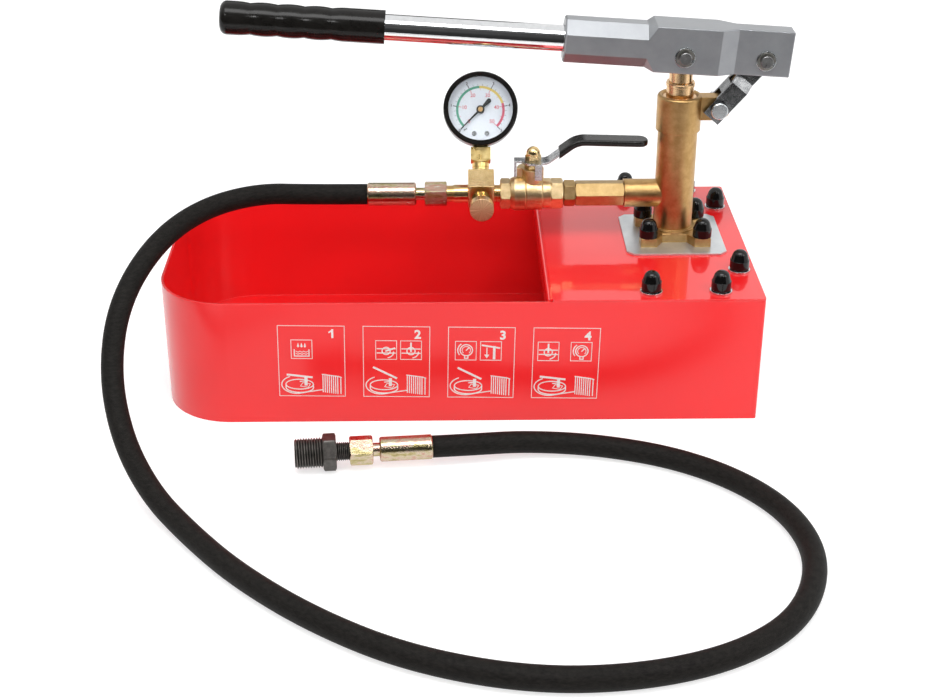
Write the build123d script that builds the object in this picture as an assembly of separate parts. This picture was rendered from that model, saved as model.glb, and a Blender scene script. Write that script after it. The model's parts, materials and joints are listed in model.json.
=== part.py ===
from build123d import *
import math
import os

# Hydrostatic test pump. Millimetres, X along the tank towards the pump, Y to the back, Z up.
# The origin is the middle of the tank's underside.

# Fits
running = 0.05
slip = 0.15
free_gap = 0.3
overrun = 2.0

# Sheet steel tank
tank_length = 430.0
tank_width = 212.0
tank_wall_height = 94.5
tank_sheet = 1.5
tank_end_radius = 50.0
tank_corner_radius = 2.0
rim_flange_width = 18.0
rim_flange_sheet = 1.2

# Deck plate over the pump end, with a fold along its inner edge
deck_length = 153.5
deck_sheet = 1.5
deck_fold_radius = 4.0
deck_fold_depth = 18.0
deck_fold_side_gap = 1.0

# Deck screws, two pairs along the sides and one pair along the end
deck_near_pair_from_end = 30.3
deck_far_pair_from_end = 79.6
deck_front_from_side = 13.2
deck_back_from_side = 10.0
deck_end_pair_from_end = 11.7
deck_end_pair_spacing = 120.0
deck_end_pair_offset = 2.7

# M6 screws, nuts, washers and their rubber caps
screw_radius = 3.0
screw_head_flats = 10.0
screw_head_height = 4.0
screw_past_nut = 1.5
nut_height = 5.0
washer_radius = 7.9
washer_sheet = 1.4
cap_radius = 7.0
cap_step = 0.25
cap_step_height = 6.2
cap_top_radius = 4.4
cap_dome_radius = 5.4
cap_height = 14.0
cap_above_washer = 0.8

# Zinc plate under the pump
base_length = 74.0
base_width = 75.5
base_sheet = 1.5
base_corner = 5.0

# Pump casting
pump_from_end = 53.0
pump_offset = 7.0
flange_size = 52.0
flange_thickness = 6.6
flange_lug_face = 12.0
flange_notch_depth = 9.0
flange_notch_width = 18.5
flange_boss_radius = 17.0
flange_boss_height = 8.4
flange_screw_spacing = 40.0
column_radius = 14.5
column_height = 110.5
collar_radius = 16.3
collar_length = 26.5
collar_rim_fillet = 2.0
collar_mouth = 1.0
chamber_radius = 9.6
chamber_floor = 6.5
gland_pocket_radius = 12.4
gland_pocket_depth = 14.0
pipe_height = 33.4
spigot_radius = 10.5
spigot_reach = 38.0
spigot_passage_radius = 4.0
ear_reach = 28.0
ear_below_rim = 9.8
ear_radius = 8.7
ear_width = 11.0

# Gland
packing_height = 6.0
gland_thread_below_rim = 1.2
gland_neck_radius = 10.0
gland_above_rim = 9.8
gland_ring_radius = 10.5
gland_ring_height = 3.0
gland_ring_edge = 1.0

# Plunger
plunger_radius = 8.5
plunger_floor_gap = 3.0
plunger_pin_above_gland = 21.9
plunger_crown = 8.0
plunger_crown_fillet = 3.0
handle_pin_radius = 4.5

# Inlet valve and suction pipe under the deck
inlet_spigot_radius = 11.0
inlet_spigot_length = 17.5
inlet_cavity_radius = 6.5
inlet_cavity_top = 1.0
inlet_port_radius = 3.0
inlet_seat_height = 8.0
inlet_barb_length = 10.0
inlet_barb_radius = 4.35
inlet_ball_radius = 4.5
seat_chamfer = 1.0
ball_gap = 0.1
suction_tube_radius = 6.0
suction_tube_bore = 4.5
strainer_radius = 10.0
strainer_wall = 1.2
strainer_height = 14.0
strainer_floor_gap = 0.4
strainer_slot_width = 2.0
strainer_slot_height = 7.0
strainer_slot_count = 8

# Outlet check valve in a long hexagon
fitting_flats = 17.0
outlet_body_length = 36.4
outlet_body_turn = 37.0
thread_radius = 6.4
thread_length = 9.5
fitting_bore = 3.0
outlet_cavity_radius = 5.5
outlet_seat_from_end = 9.5
outlet_ball_radius = 4.2
outlet_ball_travel = 3.0
outlet_spring_wire = 0.35
outlet_spring_radius = 3.2
outlet_spring_turns = 5

# Hexagon nipple between the check valve and the ball valve
nipple_hex_length = 8.6
nipple_hex_turn = 22.0
nipple_thread_shows = 0.6

# Ball valve
valve_end_flats = 20.0
valve_hex_turn = 30.0
valve_right_hex_length = 9.3
valve_neck_length = 6.1
valve_neck_radius = 11.4
valve_middle_length = 12.5
valve_middle_radius = 12.4
valve_edge = 0.5
valve_skirt_length = 6.2
valve_skirt_radius = 10.9
valve_shoulder_length = 11.3
valve_shoulder_radius = 12.7
valve_shoulder_taper = 3.0
valve_left_hex_length = 7.6
valve_stem_from_left = 24.3
valve_cavity_radius = 9.2
valve_ball_radius = 8.0
valve_ball_bore = 4.0
valve_seat_bore = 5.0
valve_seat_near = 6.6
valve_seat_far = 9.2
stem_radius = 3.5
stem_slot_depth = 1.6
stem_tongue_width = 3.0
stem_tongue_length = 5.0
tower_radius = 8.0
tower_height = 20.2
stop_radius = 12.1
stop_front = 0.6
stop_height = 9.0
packing_nut_flats = 11.0
packing_nut_height = 3.6
packing_nut_thread_radius = 5.0
packing_nut_thread_depth = 4.0
lever_height = 25.5
lever_sheet = 1.6
lever_width = 17.0
lever_arm_width = 12.4
lever_flat_reach = 10.0
lever_rise_reach = 32.0
lever_rise = 16.6
lever_root_bend = 9.0
lever_top_bend = 18.0
lever_grip_reach = 80.0
lever_tip_drop = 1.6
lever_tab_length = 11.0
lever_tail_width = 8.0
lever_tail_offset = 2.2
lever_front_tab_width = 5.4
lever_front_tab_offset = 3.7
sleeve_start = 19.0
sleeve_thickness = 4.6
sleeve_width = 14.9
sleeve_past_arm = 4.5
sleeve_edge = 1.5
sleeve_tip_flat = 0.6
lever_nut_flats = 10.4
lever_nut_height = 4.6
lever_nut_dome_start = 5.6
stem_thread_radius = 2.4

# Tee block with the bleed valve in front and the gauge behind
tee_flats = 28.5
tee_rise = 3.0
tee_length = 19.2
tee_thread_shows = 4.8
tee_thread_depth = 7.2
bleed_thread_radius = 5.0
bleed_thread_depth = 6.5
bleed_nut_radius = 7.4
bleed_nut_face_radius = 5.6
bleed_nut_length = 9.5
bleed_spindle_radius = 2.5
bleed_knob_from_axis = 33.0
bleed_knob_thickness = 7.5
bleed_knob_radius = 8.9
bleed_tip_length = 2.4

# Outlet adapter towards the hose
adapter_barrel_radius = 6.8
adapter_barrel_length = 10.7
adapter_thread_radius = 6.1
adapter_thread_shows = 5.2

# Gauge, tilted back on the tee's rear upper face
gauge_tilt = 30.0
gauge_height = 62.0
gauge_thread_depth = 6.4
socket_neck_shows = 6.0
socket_square_size = 14.6
socket_groove_radius = 5.7
socket_groove_above_tee = 1.9
socket_groove_length = 0.9
socket_block_width = 11.0
socket_block_depth = 8.0
socket_block_top = 13.0
case_radius = 26.5
case_wall = 0.9
case_front = 9.5
case_back = 13.0
case_back_fillet = 3.0
bezel_radius = 27.7
bezel_opening = 24.0
bezel_lip = 2.2
bezel_skirt = 7.0
bezel_fillet = 0.9
window_sheet = 1.5
dial_sheet = 0.8
dial_front = 5.0
needle_sheet = 0.6
needle_front = 8.0
needle_length = 21.0
needle_tail = 10.6
needle_width = 1.6
needle_tail_width = 2.8
needle_hub_radius = 3.4
needle_hub_depth = 1.6
needle_rest_angle = 225.0
arbor_radius = 0.8
movement_width = 15.0
movement_top = 7.0
movement_front = 3.2
movement_back = 5.0
bourdon_radius = 18.5
bourdon_half_depth = 3.6
bourdon_half_thickness = 1.3
bourdon_sweep = 255.0

# Handle, in its own frame at the plunger pin, X towards the head's end
handle_tilt = 3.9
fulcrum_reach = 59.7
fulcrum_drop = 0.8
head_above_pin = 21.2
head_below_pin = 12.4
head_left = 21.6
head_wide_reach = 25.0
head_taper_reach = 37.7
head_reach = 78.0
head_width = 29.0
head_narrow_width = 15.3
head_fillet = 1.0
head_socket_top = 20.0
head_socket_bottom = -11.4
head_socket_cut = 9.0
head_socket_from = 27.4
head_socket_reach = 86.5
socket_bore_depth = 50.0
handle_axis_above_pin = 4.3
wide_slot_left = 12.8
wide_slot_right = 23.4
narrow_slot_width = 7.8
head_end_wall = 2.2
slot_crown = 17.0
narrow_slot_crown = 12.5
handle_tube_radius = 9.5
handle_tube_wall = 1.5
grip_radius = 12.0
grip_length = 117.0
grip_end_wall = 6.0
grip_end_fillet = 5.0
handle_reach = 331.5
grip_notch_depth = 0.9
grip_notch_count = 4
grip_notch_pitch = 19.3
grip_notch_from_end = 21.2
circlip_sheet = 1.1
circlip_radius = 6.5
circlip_groove_depth = 0.6
circlip_mouth = 3.4
circlip_turn = -70.0
pin_washer_radius = 7.3
pin_washer_sheet = 0.9
pin_end_past_clip = 2.2

# Link between the handle's fulcrum pin and the pump's ear
link_sheet = 2.5
link_width = 14.4
link_tail = 8.7
link_joggle_start = 21.0
link_joggle_end = 28.0
link_upper_gap = 1.0
link_eye_radius = 9.4
link_eye_play = 2.75
link_web_start = 10.5
link_web_end = 20.0
link_bolt_radius = 4.0
link_bolt_head_radius = 6.2
link_bolt_head_height = 4.0
link_nut_flats = 13.0
link_nut_height = 6.5

# Hose and its ends
hose_radius = 7.7
hose_nut_length = 16.5
hose_tail_shows = 6.4
hose_tail_radius = 4.7
ferrule_radius = 8.6
ferrule_length = 36.5
far_axis_height = 13.2
far_tail_shows = 4.6
far_nut_flats = 18.0
far_nut_turn = 44.0
far_nut_length = 16.0
far_thread_shows = 9.1
far_hex_flats = 23.0
far_hex_turn = 36.0
far_hex_length = 9.2
far_thread_radius = 10.4775
far_thread_length = 19.2
far_bore = 4.0
far_heading = 185.06

# Derived places
tank_right = tank_length / 2
deck_left = tank_right - deck_length
deck_top = tank_wall_height + deck_sheet
plate_top = deck_top + base_sheet
flange_top = plate_top + flange_thickness
pump_x = tank_right - pump_from_end
pump_y = pump_offset
pipe_z = plate_top + pipe_height
column_top = plate_top + column_height
spigot_end = pump_x - spigot_reach
outlet_end = spigot_end - outlet_body_length
nipple_end = outlet_end - nipple_hex_length
valve_right = nipple_end - nipple_thread_shows
valve_neck_right = valve_right - valve_right_hex_length
valve_middle_right = valve_neck_right - valve_neck_length
valve_seam = valve_middle_right - valve_middle_length
valve_skirt_left = valve_seam - valve_skirt_length
valve_shoulder_left = valve_seam - valve_shoulder_length
valve_left = valve_shoulder_left - valve_left_hex_length
valve_x = valve_left + valve_stem_from_left
tee_right = valve_left - tee_thread_shows
tee_left = tee_right - tee_length
tee_x = (tee_left + tee_right) / 2
gauge_face = tee_flats / 2 + tee_rise * math.cos(math.radians(gauge_tilt))
socket_square_start = gauge_face + socket_neck_shows
socket_groove_start = gauge_face + socket_groove_above_tee
barrel_left = tee_left - adapter_barrel_length
hose_nut_right = barrel_left - adapter_thread_shows
hose_nut_left = hose_nut_right - hose_nut_length
ferrule_right = hose_nut_left - hose_tail_shows
ferrule_left = ferrule_right - ferrule_length
ear_x = pump_x + ear_reach
ear_z = column_top - ear_below_rim
gland_top = column_top + gland_above_rim
pin_z = gland_top + plunger_pin_above_gland
female_radius = thread_radius + slip

# Route of the hose, from the near ferrule to the far one, chosen by hand
hose_route = [
    (-67.7, 7.0, 130.9),
    (-109.3, 7.0, 130.9),
    (-148.9, -6.2, 137.4),
    (-188.1, -31.0, 134.9),
    (-216.0, -72.2, 125.3),
    (-236.2, -111.8, 98.7),
    (-240.0, -145.8, 62.5),
    (-227.4, -185.5, 32.9),
    (-203.5, -226.0, 15.0),
    (-174.8, -262.0, 8.0),
    (-139.0, -308.0, 8.0),
    (-89.0, -355.0, 8.0),
    (-32.0, -392.0, 8.0),
    (36.5, -412.5, 8.0),
    (100.5, -410.5, 8.0),
    (157.5, -391.5, 8.0),
    (199.0, -356.5, 8.0),
    (220.5, -302.5, 8.0),
    (216.0, -251.0, 8.0),
    (190.5, -207.5, 8.0),
    (148.4, -174.0, 8.0),
    (95.6, -156.0, 8.4),
    (45.7, -154.0, 10.6),
    (7.5, -162.4, 13.2),
    (-19.6, -164.8, 13.2),
]
far_ferrule_face = hose_route[-1]

upright = (Align.CENTER, Align.CENTER, Align.MIN)
pump_axis = Pos(pump_x, pump_y, 0)
handle_frame = Pos(pump_x, pump_y, pin_z) * Rot(0, handle_tilt, 0)
tee_frame = Pos(tee_x, pump_y, pipe_z) * Rot(-gauge_tilt, 0, 0)
gauge_frame = tee_frame * Pos(0, 0, gauge_height)


def rod(radius, bottom, top):
    """Round bar on the Z axis."""
    return Pos(0, 0, bottom) * Cylinder(radius, top - bottom, align=upright)


def ring(outer, inner, bottom, top):
    """Tube or washer on the Z axis."""
    return rod(outer, bottom, top) - rod(inner, bottom - overrun, top + overrun)


def hexagon(flats, bottom, top):
    """Hexagon bar on the Z axis."""
    face = RegularPolygon(flats / 2, 6, major_radius=False)
    return Pos(0, 0, bottom) * extrude(face, top - bottom)


def chamfered_hexagon(flats, bottom, top):
    """Hexagon bar whose corners are turned off at both ends, as a nut's are."""
    height = top - bottom
    corner = flats / math.sqrt(3)
    relief = (corner - flats / 2) * math.tan(math.radians(30))
    profile = make_face(Polyline(
        (0, 0),
        (flats / 2, 0),
        (corner + overrun, relief + overrun * math.tan(math.radians(30))),
        (corner + overrun, height - relief - overrun * math.tan(math.radians(30))),
        (flats / 2, height),
        (0, height),
        close=True,
    ))
    turned = Pos(0, 0, bottom) * revolve(Plane.XZ * profile, Axis.Z)
    return hexagon(flats, bottom, top) & turned


def along_x(shape, turn=0):
    """Lay a shape made on the Z axis along the pipe, turned so that a flat looks up by turn."""
    return Pos(0, pump_y, pipe_z) * Rot(-turn, 0, 0) * Rot(0, 90, 0) * shape


def along_y(shape):
    """Point a shape made on the Z axis to the back."""
    return Rot(-90, 0, 0) * shape


def tank_plan(inset):
    """Plan of the tank, with its round end to the left."""
    plan = Rectangle(tank_length - 2 * inset, tank_width - 2 * inset)
    plan = fillet(plan.vertices().group_by(Axis.X)[0], tank_end_radius - inset)
    return fillet(plan.vertices().group_by(Axis.X)[-1], tank_corner_radius - inset)


def deck_screw_places():
    """Centres of the six screws that hold the deck."""
    front = deck_front_from_side - tank_width / 2
    back = tank_width / 2 - deck_back_from_side
    places = []
    for from_end in (deck_near_pair_from_end, deck_far_pair_from_end):
        for y in (front, back):
            places.append((tank_right - from_end, y))
    for y in (-deck_end_pair_spacing / 2, deck_end_pair_spacing / 2):
        places.append((tank_right - deck_end_pair_from_end, deck_end_pair_offset + y))
    return places


def flange_screw_places():
    """Centres of the four screws through the pump's lugs."""
    half = flange_screw_spacing / 2
    return [(pump_x + x, pump_y + y) for x in (-half, half) for y in (-half, half)]


def at_places(places, shape):
    """Separate copies of a shape, one at each place."""
    return Compound([Pos(x, y, 0) * shape for x, y in places])


def drilled(body, places, radius):
    """Body with an upright hole at each place."""
    for x, y in places:
        body -= Pos(x, y, 0) * rod(radius, -overrun, column_top)
    return body


def make_tank_shell():
    body = extrude(tank_plan(0), tank_wall_height)
    body -= Pos(0, 0, tank_sheet) * extrude(tank_plan(tank_sheet), tank_wall_height)
    band = extrude(tank_plan(0), rim_flange_sheet)
    band &= Pos(deck_left + deck_fold_radius, 0, 0) * Box(
        deck_length, tank_width + overrun, tank_wall_height,
        align=(Align.MIN, Align.CENTER, Align.CENTER),
    )
    band -= Pos(tank_right - rim_flange_width, 0, 0) * Box(
        deck_length + overrun, tank_width - 2 * rim_flange_width, tank_wall_height,
        align=(Align.MAX, Align.CENTER, Align.CENTER),
    )
    body += Pos(0, 0, tank_wall_height - rim_flange_sheet) * band
    rim_holes = Part()
    for x, y in deck_screw_places():
        rim_holes += Pos(x, y, 0) * rod(
            screw_radius + slip, tank_wall_height - rim_flange_sheet - overrun, deck_top + overrun)
    return body - rim_holes


def make_deck_plate():
    plate = extrude(tank_plan(0), deck_sheet)
    plate &= Pos(deck_left + deck_fold_radius, 0, 0) * Box(
        deck_length, tank_width + overrun, tank_width,
        align=(Align.MIN, Align.CENTER, Align.CENTER),
    )
    plate = Pos(0, 0, tank_wall_height) * plate
    corner = (Align.MIN, Align.MAX)
    outer = Rectangle(deck_fold_radius * 2, deck_fold_depth, align=corner)
    outer = fillet(outer.vertices().group_by(Axis.X)[0].sort_by(Axis.Y)[-1], deck_fold_radius)
    inner = Rectangle(deck_fold_radius * 2, deck_fold_depth, align=corner)
    inner = fillet(
        inner.vertices().group_by(Axis.X)[0].sort_by(Axis.Y)[-1], deck_fold_radius - deck_sheet)
    fold = outer - Pos(deck_sheet, -deck_sheet) * inner
    fold &= Rectangle(deck_fold_radius, deck_fold_depth, align=corner)
    half = tank_width / 2 - tank_sheet - deck_fold_side_gap
    fold = extrude(Plane.XZ * fold, half, both=True)
    plate += Pos(deck_left, 0, deck_top) * fold
    plate -= pump_axis * rod(inlet_spigot_radius + free_gap, 0, column_top)
    plate = drilled(plate, deck_screw_places(), screw_radius + slip)
    return drilled(plate, flange_screw_places(), screw_radius + slip)


def make_screws(places, head_top, clamp_top):
    """Hexagon-head screws put in from below."""
    head = chamfered_hexagon(screw_head_flats, head_top - screw_head_height, head_top)
    shank = rod(screw_radius, head_top, clamp_top + nut_height + screw_past_nut)
    return at_places(places, head + shank)


def make_nuts(places, seat):
    nut = chamfered_hexagon(screw_head_flats, seat, seat + nut_height)
    return at_places(places, nut - rod(screw_radius + slip, seat - overrun, seat + nut_height + overrun))


def make_washers(places, seat):
    return at_places(places, ring(washer_radius, screw_radius + slip, seat, seat + washer_sheet))


def make_caps(places, seat):
    """Rubber caps pushed over the nuts, straight below and pointed above a small step."""
    cap = Pos(0, 0, cap_step_height) * Cone(
        cap_radius - cap_step, cap_top_radius, cap_height - cap_step_height, align=upright)
    cap = fillet(cap.edges().sort_by(Axis.Z)[-1], cap_dome_radius)
    cap += rod(cap_radius, 0, cap_step_height)
    hollow = nut_height + screw_past_nut + slip
    cap -= rod(screw_head_flats / math.sqrt(3) + slip, -overrun, hollow)
    return at_places(places, Pos(0, 0, seat) * cap)


def make_base_plate():
    plate = Box(base_length, base_width, base_sheet, align=upright)
    plate = chamfer(plate.edges().filter_by(Axis.Z), base_corner)
    plate = Pos(pump_x, pump_y, deck_top) * plate
    plate -= pump_axis * rod(inlet_spigot_radius + free_gap, 0, column_top)
    return drilled(plate, flange_screw_places(), screw_radius + slip)


def flange_plan():
    """Square flange with a notch in the middle of each side, which leaves four lugs."""
    half = flange_size / 2
    floor = half - flange_notch_depth
    side = [
        (half, -half + flange_lug_face),
        (floor, -flange_notch_width / 2),
        (floor, flange_notch_width / 2),
        (half, half - flange_lug_face),
        (half, half),
    ]
    points = []
    for quarter in range(4):
        cosine = round(math.cos(quarter * math.pi / 2))
        sine = round(math.sin(quarter * math.pi / 2))
        points += [(x * cosine - y * sine, x * sine + y * cosine) for x, y in side]
    return make_face(Polyline(*points, close=True))


def make_pump_cylinder():
    """Brass casting: flange, column, collar, outlet spigot, link ear and inlet spigot."""
    foot = extrude(flange_plan(), flange_thickness)
    foot += rod(flange_boss_radius, 0, flange_boss_height)
    ear_height = column_height - ear_below_rim
    column = rod(column_radius, 0, column_height)
    collar = rod(collar_radius, column_height - collar_length, column_height)
    collar = fillet(collar.edges().sort_by(Axis.Z)[-1], collar_rim_fillet)
    spigot = Pos(0, 0, pipe_height) * Rot(0, -90, 0) * rod(spigot_radius, 0, spigot_reach)
    ear = Box(ear_reach, ear_width, 2 * ear_radius, align=(Align.MIN, Align.CENTER, Align.CENTER))
    ear += Pos(ear_reach, 0, 0) * along_y(rod(ear_radius, -ear_width / 2, ear_width / 2))
    inlet = rod(inlet_spigot_radius, -inlet_spigot_length, 0)
    body = foot + column + collar + spigot + Pos(0, 0, ear_height) * ear + inlet
    body -= rod(chamber_radius, chamber_floor, column_height)
    body -= rod(gland_pocket_radius, column_height - gland_pocket_depth, column_height + overrun)
    body -= Pos(0, 0, column_height - collar_mouth) * Cone(
        gland_pocket_radius, gland_pocket_radius + collar_mouth, collar_mouth, align=upright)
    body -= rod(inlet_cavity_radius, -inlet_spigot_length - overrun, inlet_cavity_top)
    body -= rod(inlet_port_radius, 0, chamber_floor + overrun)
    passage = rod(spigot_passage_radius, 0, spigot_reach)
    passage += rod(female_radius, spigot_reach - thread_length - slip, spigot_reach + overrun)
    body -= Pos(0, 0, pipe_height) * Rot(0, -90, 0) * passage
    body -= Pos(ear_reach, 0, ear_height) * along_y(
        rod(link_bolt_radius + running, -ear_width, ear_width))
    body = Pos(pump_x, pump_y, plate_top) * body
    return drilled(body, flange_screw_places(), screw_radius + slip)


def make_gland_packing():
    bottom = column_top - gland_pocket_depth
    return pump_axis * ring(
        gland_pocket_radius - slip, plunger_radius + running, bottom, bottom + packing_height)


def make_gland_nut():
    """Nut that squeezes the packing, with a neck and a ring that stand out of the collar."""
    bottom = column_top - gland_pocket_depth + packing_height
    nut = rod(gland_pocket_radius - slip, bottom, column_top - gland_thread_below_rim)
    nut += rod(gland_neck_radius, bottom, gland_top)
    top_ring = rod(gland_ring_radius, gland_top - gland_ring_height, gland_top)
    nut += chamfer(top_ring.edges().sort_by(Axis.Z)[-1], gland_ring_edge)
    return pump_axis * (nut - rod(plunger_radius + running, bottom - overrun, gland_top + overrun))


def make_plunger():
    bottom = plate_top + chamber_floor + plunger_floor_gap
    body = rod(plunger_radius, bottom, pin_z + plunger_crown)
    body = fillet(body.edges().sort_by(Axis.Z)[-1], plunger_crown_fillet)
    body = chamfer(body.edges().sort_by(Axis.Z)[0], seat_chamfer)
    pin_hole = along_y(rod(handle_pin_radius + running, -plunger_radius - overrun, plunger_radius + overrun))
    return pump_axis * (body - Pos(0, 0, pin_z) * pin_hole)


def seat_hole(bore, chamfer_size, face, depth):
    """Round hole down from a face, with a cone at its mouth for a ball."""
    hole = rod(bore, face - depth, face + overrun)
    cone = Cone(bore, bore + chamfer_size + overrun, chamfer_size + overrun, align=upright)
    return hole + Pos(0, 0, face - chamfer_size) * cone


def ball_on_seat(ball_radius, bore):
    """Height of a ball's centre above the face of its seat."""
    return math.sqrt(2) * (ball_radius + ball_gap) - bore - seat_chamfer


def make_inlet_seat():
    """Screwed seat under the inlet ball, with a barb for the suction pipe."""
    bottom = plate_top - inlet_spigot_length
    face = bottom + inlet_seat_height
    seat = rod(inlet_cavity_radius - slip, bottom, face)
    seat += rod(inlet_barb_radius, bottom - inlet_barb_length, bottom)
    seat -= seat_hole(inlet_port_radius, seat_chamfer, face, inlet_seat_height + inlet_barb_length + overrun)
    return pump_axis * seat


def make_inlet_ball():
    face = plate_top - inlet_spigot_length + inlet_seat_height
    height = face + ball_on_seat(inlet_ball_radius, inlet_port_radius)
    return pump_axis * Pos(0, 0, height) * Sphere(inlet_ball_radius)


def make_suction_tube():
    bottom = tank_sheet + strainer_floor_gap + strainer_wall + slip
    return pump_axis * ring(
        suction_tube_radius, suction_tube_bore, bottom, plate_top - inlet_spigot_length - slip)


def make_suction_strainer():
    """Slotted cup on the end of the suction pipe."""
    bottom = tank_sheet + strainer_floor_gap
    cup = rod(strainer_radius, bottom, bottom + strainer_height)
    top = bottom + strainer_height
    cup -= rod(strainer_radius - strainer_wall, bottom + strainer_wall, top - strainer_wall)
    cup -= rod(suction_tube_radius + slip, bottom + strainer_wall, top + overrun)
    slot = Pos(strainer_radius, 0, bottom + strainer_height / 2) * Box(
        strainer_wall * 4, strainer_slot_width, strainer_slot_height)
    for index in range(strainer_slot_count):
        cup -= Rot(0, 0, index * 360 / strainer_slot_count) * slot
    return pump_axis * cup


def make_outlet_valve_body():
    """Long hexagon that screws into the spigot and holds the outlet ball."""
    body = chamfered_hexagon(fitting_flats, outlet_end, spigot_end)
    body += rod(thread_radius, spigot_end, spigot_end + thread_length)
    face = spigot_end - outlet_seat_from_end
    body -= rod(fitting_bore, face - overrun, spigot_end + thread_length + overrun)
    body -= rod(outlet_cavity_radius, outlet_end, face)
    body -= Pos(0, 0, face) * Cone(fitting_bore + seat_chamfer, fitting_bore, seat_chamfer, align=upright)
    body -= rod(female_radius, outlet_end - overrun, outlet_end + thread_length + slip)
    return along_x(body, outlet_body_turn)


def outlet_ball_x():
    """Place of the outlet ball on its seat, left of the seat's face."""
    return spigot_end - outlet_seat_from_end - ball_on_seat(outlet_ball_radius, fitting_bore)


def make_outlet_ball():
    return Pos(outlet_ball_x(), pump_y, pipe_z) * Sphere(outlet_ball_radius)


def make_outlet_spring():
    """Coil behind the outlet ball, drawn as short as the ball can press it."""
    touch = math.sqrt((outlet_ball_radius + ball_gap + outlet_spring_wire) ** 2 - outlet_spring_radius ** 2)
    end = outlet_ball_x() - touch
    start = outlet_end + thread_length + outlet_ball_travel + outlet_spring_wire + ball_gap
    line = Helix((end - start) / outlet_spring_turns, end - start, outlet_spring_radius)
    coil = sweep(Plane(line @ 0, z_dir=line % 0) * Circle(outlet_spring_wire), line, is_frenet=True)
    return along_x(Pos(0, 0, start) * coil)


def make_hex_nipple():
    body = chamfered_hexagon(fitting_flats, nipple_end, outlet_end)
    body += rod(thread_radius, outlet_end, outlet_end + thread_length)
    body += rod(thread_radius, valve_right - thread_length, nipple_end)
    body -= rod(fitting_bore, valve_right - thread_length - overrun, outlet_end + thread_length + overrun)
    return along_x(body, nipple_hex_turn)


def make_valve_stop():
    """Quarter disc beside the tower that the lever's tabs come to rest on."""
    corner = Pos(0, -stop_front, 0) * Box(
        stop_radius, stop_front + stop_radius, tower_height, align=(Align.MAX, Align.MIN, Align.MIN))
    stop = Pos(valve_x, pump_y, pipe_z) * (
        corner & rod(stop_radius, tower_height - stop_height, tower_height))
    return stop - along_x(rod(valve_shoulder_radius + free_gap, valve_left, valve_seam))


def make_valve_body():
    """Ball valve body: hexagon end, neck, round middle, screwed skirt and the tower for the stem."""
    body = along_x(chamfered_hexagon(valve_end_flats, valve_neck_right, valve_right), valve_hex_turn)
    body += along_x(rod(valve_neck_radius, valve_middle_right, valve_neck_right))
    middle = rod(valve_middle_radius, valve_seam, valve_middle_right)
    body += along_x(chamfer(middle.edges().filter_by(GeomType.CIRCLE), valve_edge))
    body += along_x(rod(valve_skirt_radius, valve_skirt_left, valve_seam + overrun))
    body += Pos(valve_x, pump_y, pipe_z) * rod(tower_radius, 0, tower_height)
    body -= along_x(ring(
        valve_shoulder_radius + free_gap, valve_skirt_radius, valve_skirt_left - overrun, valve_seam))
    body += make_valve_stop()
    hollow = rod(valve_cavity_radius, valve_skirt_left - overrun, valve_x + valve_seat_far)
    hollow += rod(valve_ball_bore, valve_x, valve_right)
    hollow += rod(female_radius, valve_right - thread_length - slip, valve_right + overrun)
    body -= along_x(hollow)
    shaft = rod(stem_radius + running, 0, tower_height + overrun)
    shaft += rod(
        packing_nut_thread_radius + slip, tower_height - packing_nut_thread_depth - slip,
        tower_height + overrun)
    return body - Pos(valve_x, pump_y, pipe_z) * shaft


def make_valve_end():
    """Left end of the ball valve, a hexagon and a shoulder screwed over the body's skirt."""
    body = chamfered_hexagon(valve_end_flats, valve_left, valve_shoulder_left)
    body += Pos(0, 0, valve_shoulder_left) * Cone(
        valve_neck_radius, valve_shoulder_radius, valve_shoulder_taper, align=upright)
    round_part = rod(valve_shoulder_radius, valve_shoulder_left + valve_shoulder_taper, valve_seam)
    body += chamfer(round_part.edges().sort_by(Axis.Z)[-1], valve_edge)
    body -= rod(valve_skirt_radius + slip, valve_skirt_left - slip, valve_seam + overrun)
    body += rod(valve_cavity_radius - slip, valve_shoulder_left, valve_x - valve_seat_far)
    body -= rod(valve_ball_bore, valve_left - overrun, valve_x)
    body -= rod(female_radius, valve_left - overrun, valve_left + tee_thread_depth + slip)
    return along_x(body, valve_hex_turn)


def make_valve_seats():
    rings = []
    for side in (-1, 1):
        ends = sorted((valve_x + side * valve_seat_near, valve_x + side * valve_seat_far))
        rings.append(along_x(ring(valve_cavity_radius - slip, valve_seat_bore, *ends)))
    return Compound(rings)


def make_valve_ball():
    """Ball with its bore along the pipe and a slot on top for the stem's tongue."""
    ball = Pos(valve_x, pump_y, pipe_z) * Sphere(valve_ball_radius)
    ball -= along_x(rod(valve_ball_bore, valve_x - valve_ball_radius, valve_x + valve_ball_radius))
    slot = Box(
        2 * valve_ball_radius, stem_tongue_width + 2 * running, stem_slot_depth + overrun, align=upright)
    return ball - Pos(valve_x, pump_y, pipe_z + valve_ball_radius - stem_slot_depth) * slot


def make_valve_stem():
    """Stem whose tongue sits in the ball's slot and whose thread takes the lever nut."""
    tongue = Box(stem_tongue_length, stem_tongue_width, stem_slot_depth + running, align=upright)
    bottom = valve_ball_radius - stem_slot_depth + running
    stem = Pos(0, 0, bottom) * tongue
    stem += rod(stem_radius, valve_ball_radius + running, lever_height - lever_sheet / 2)
    stem += rod(
        stem_thread_radius, lever_height - lever_sheet / 2,
        lever_height + lever_sheet / 2 + lever_nut_height)
    return Pos(valve_x, pump_y, pipe_z) * stem


def make_stem_packing_nut():
    nut = chamfered_hexagon(packing_nut_flats, tower_height, tower_height + packing_nut_height)
    nut += rod(packing_nut_thread_radius, tower_height - packing_nut_thread_depth, tower_height)
    nut -= rod(stem_radius + running, 0, lever_height)
    return Pos(valve_x, pump_y, pipe_z) * nut


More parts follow.
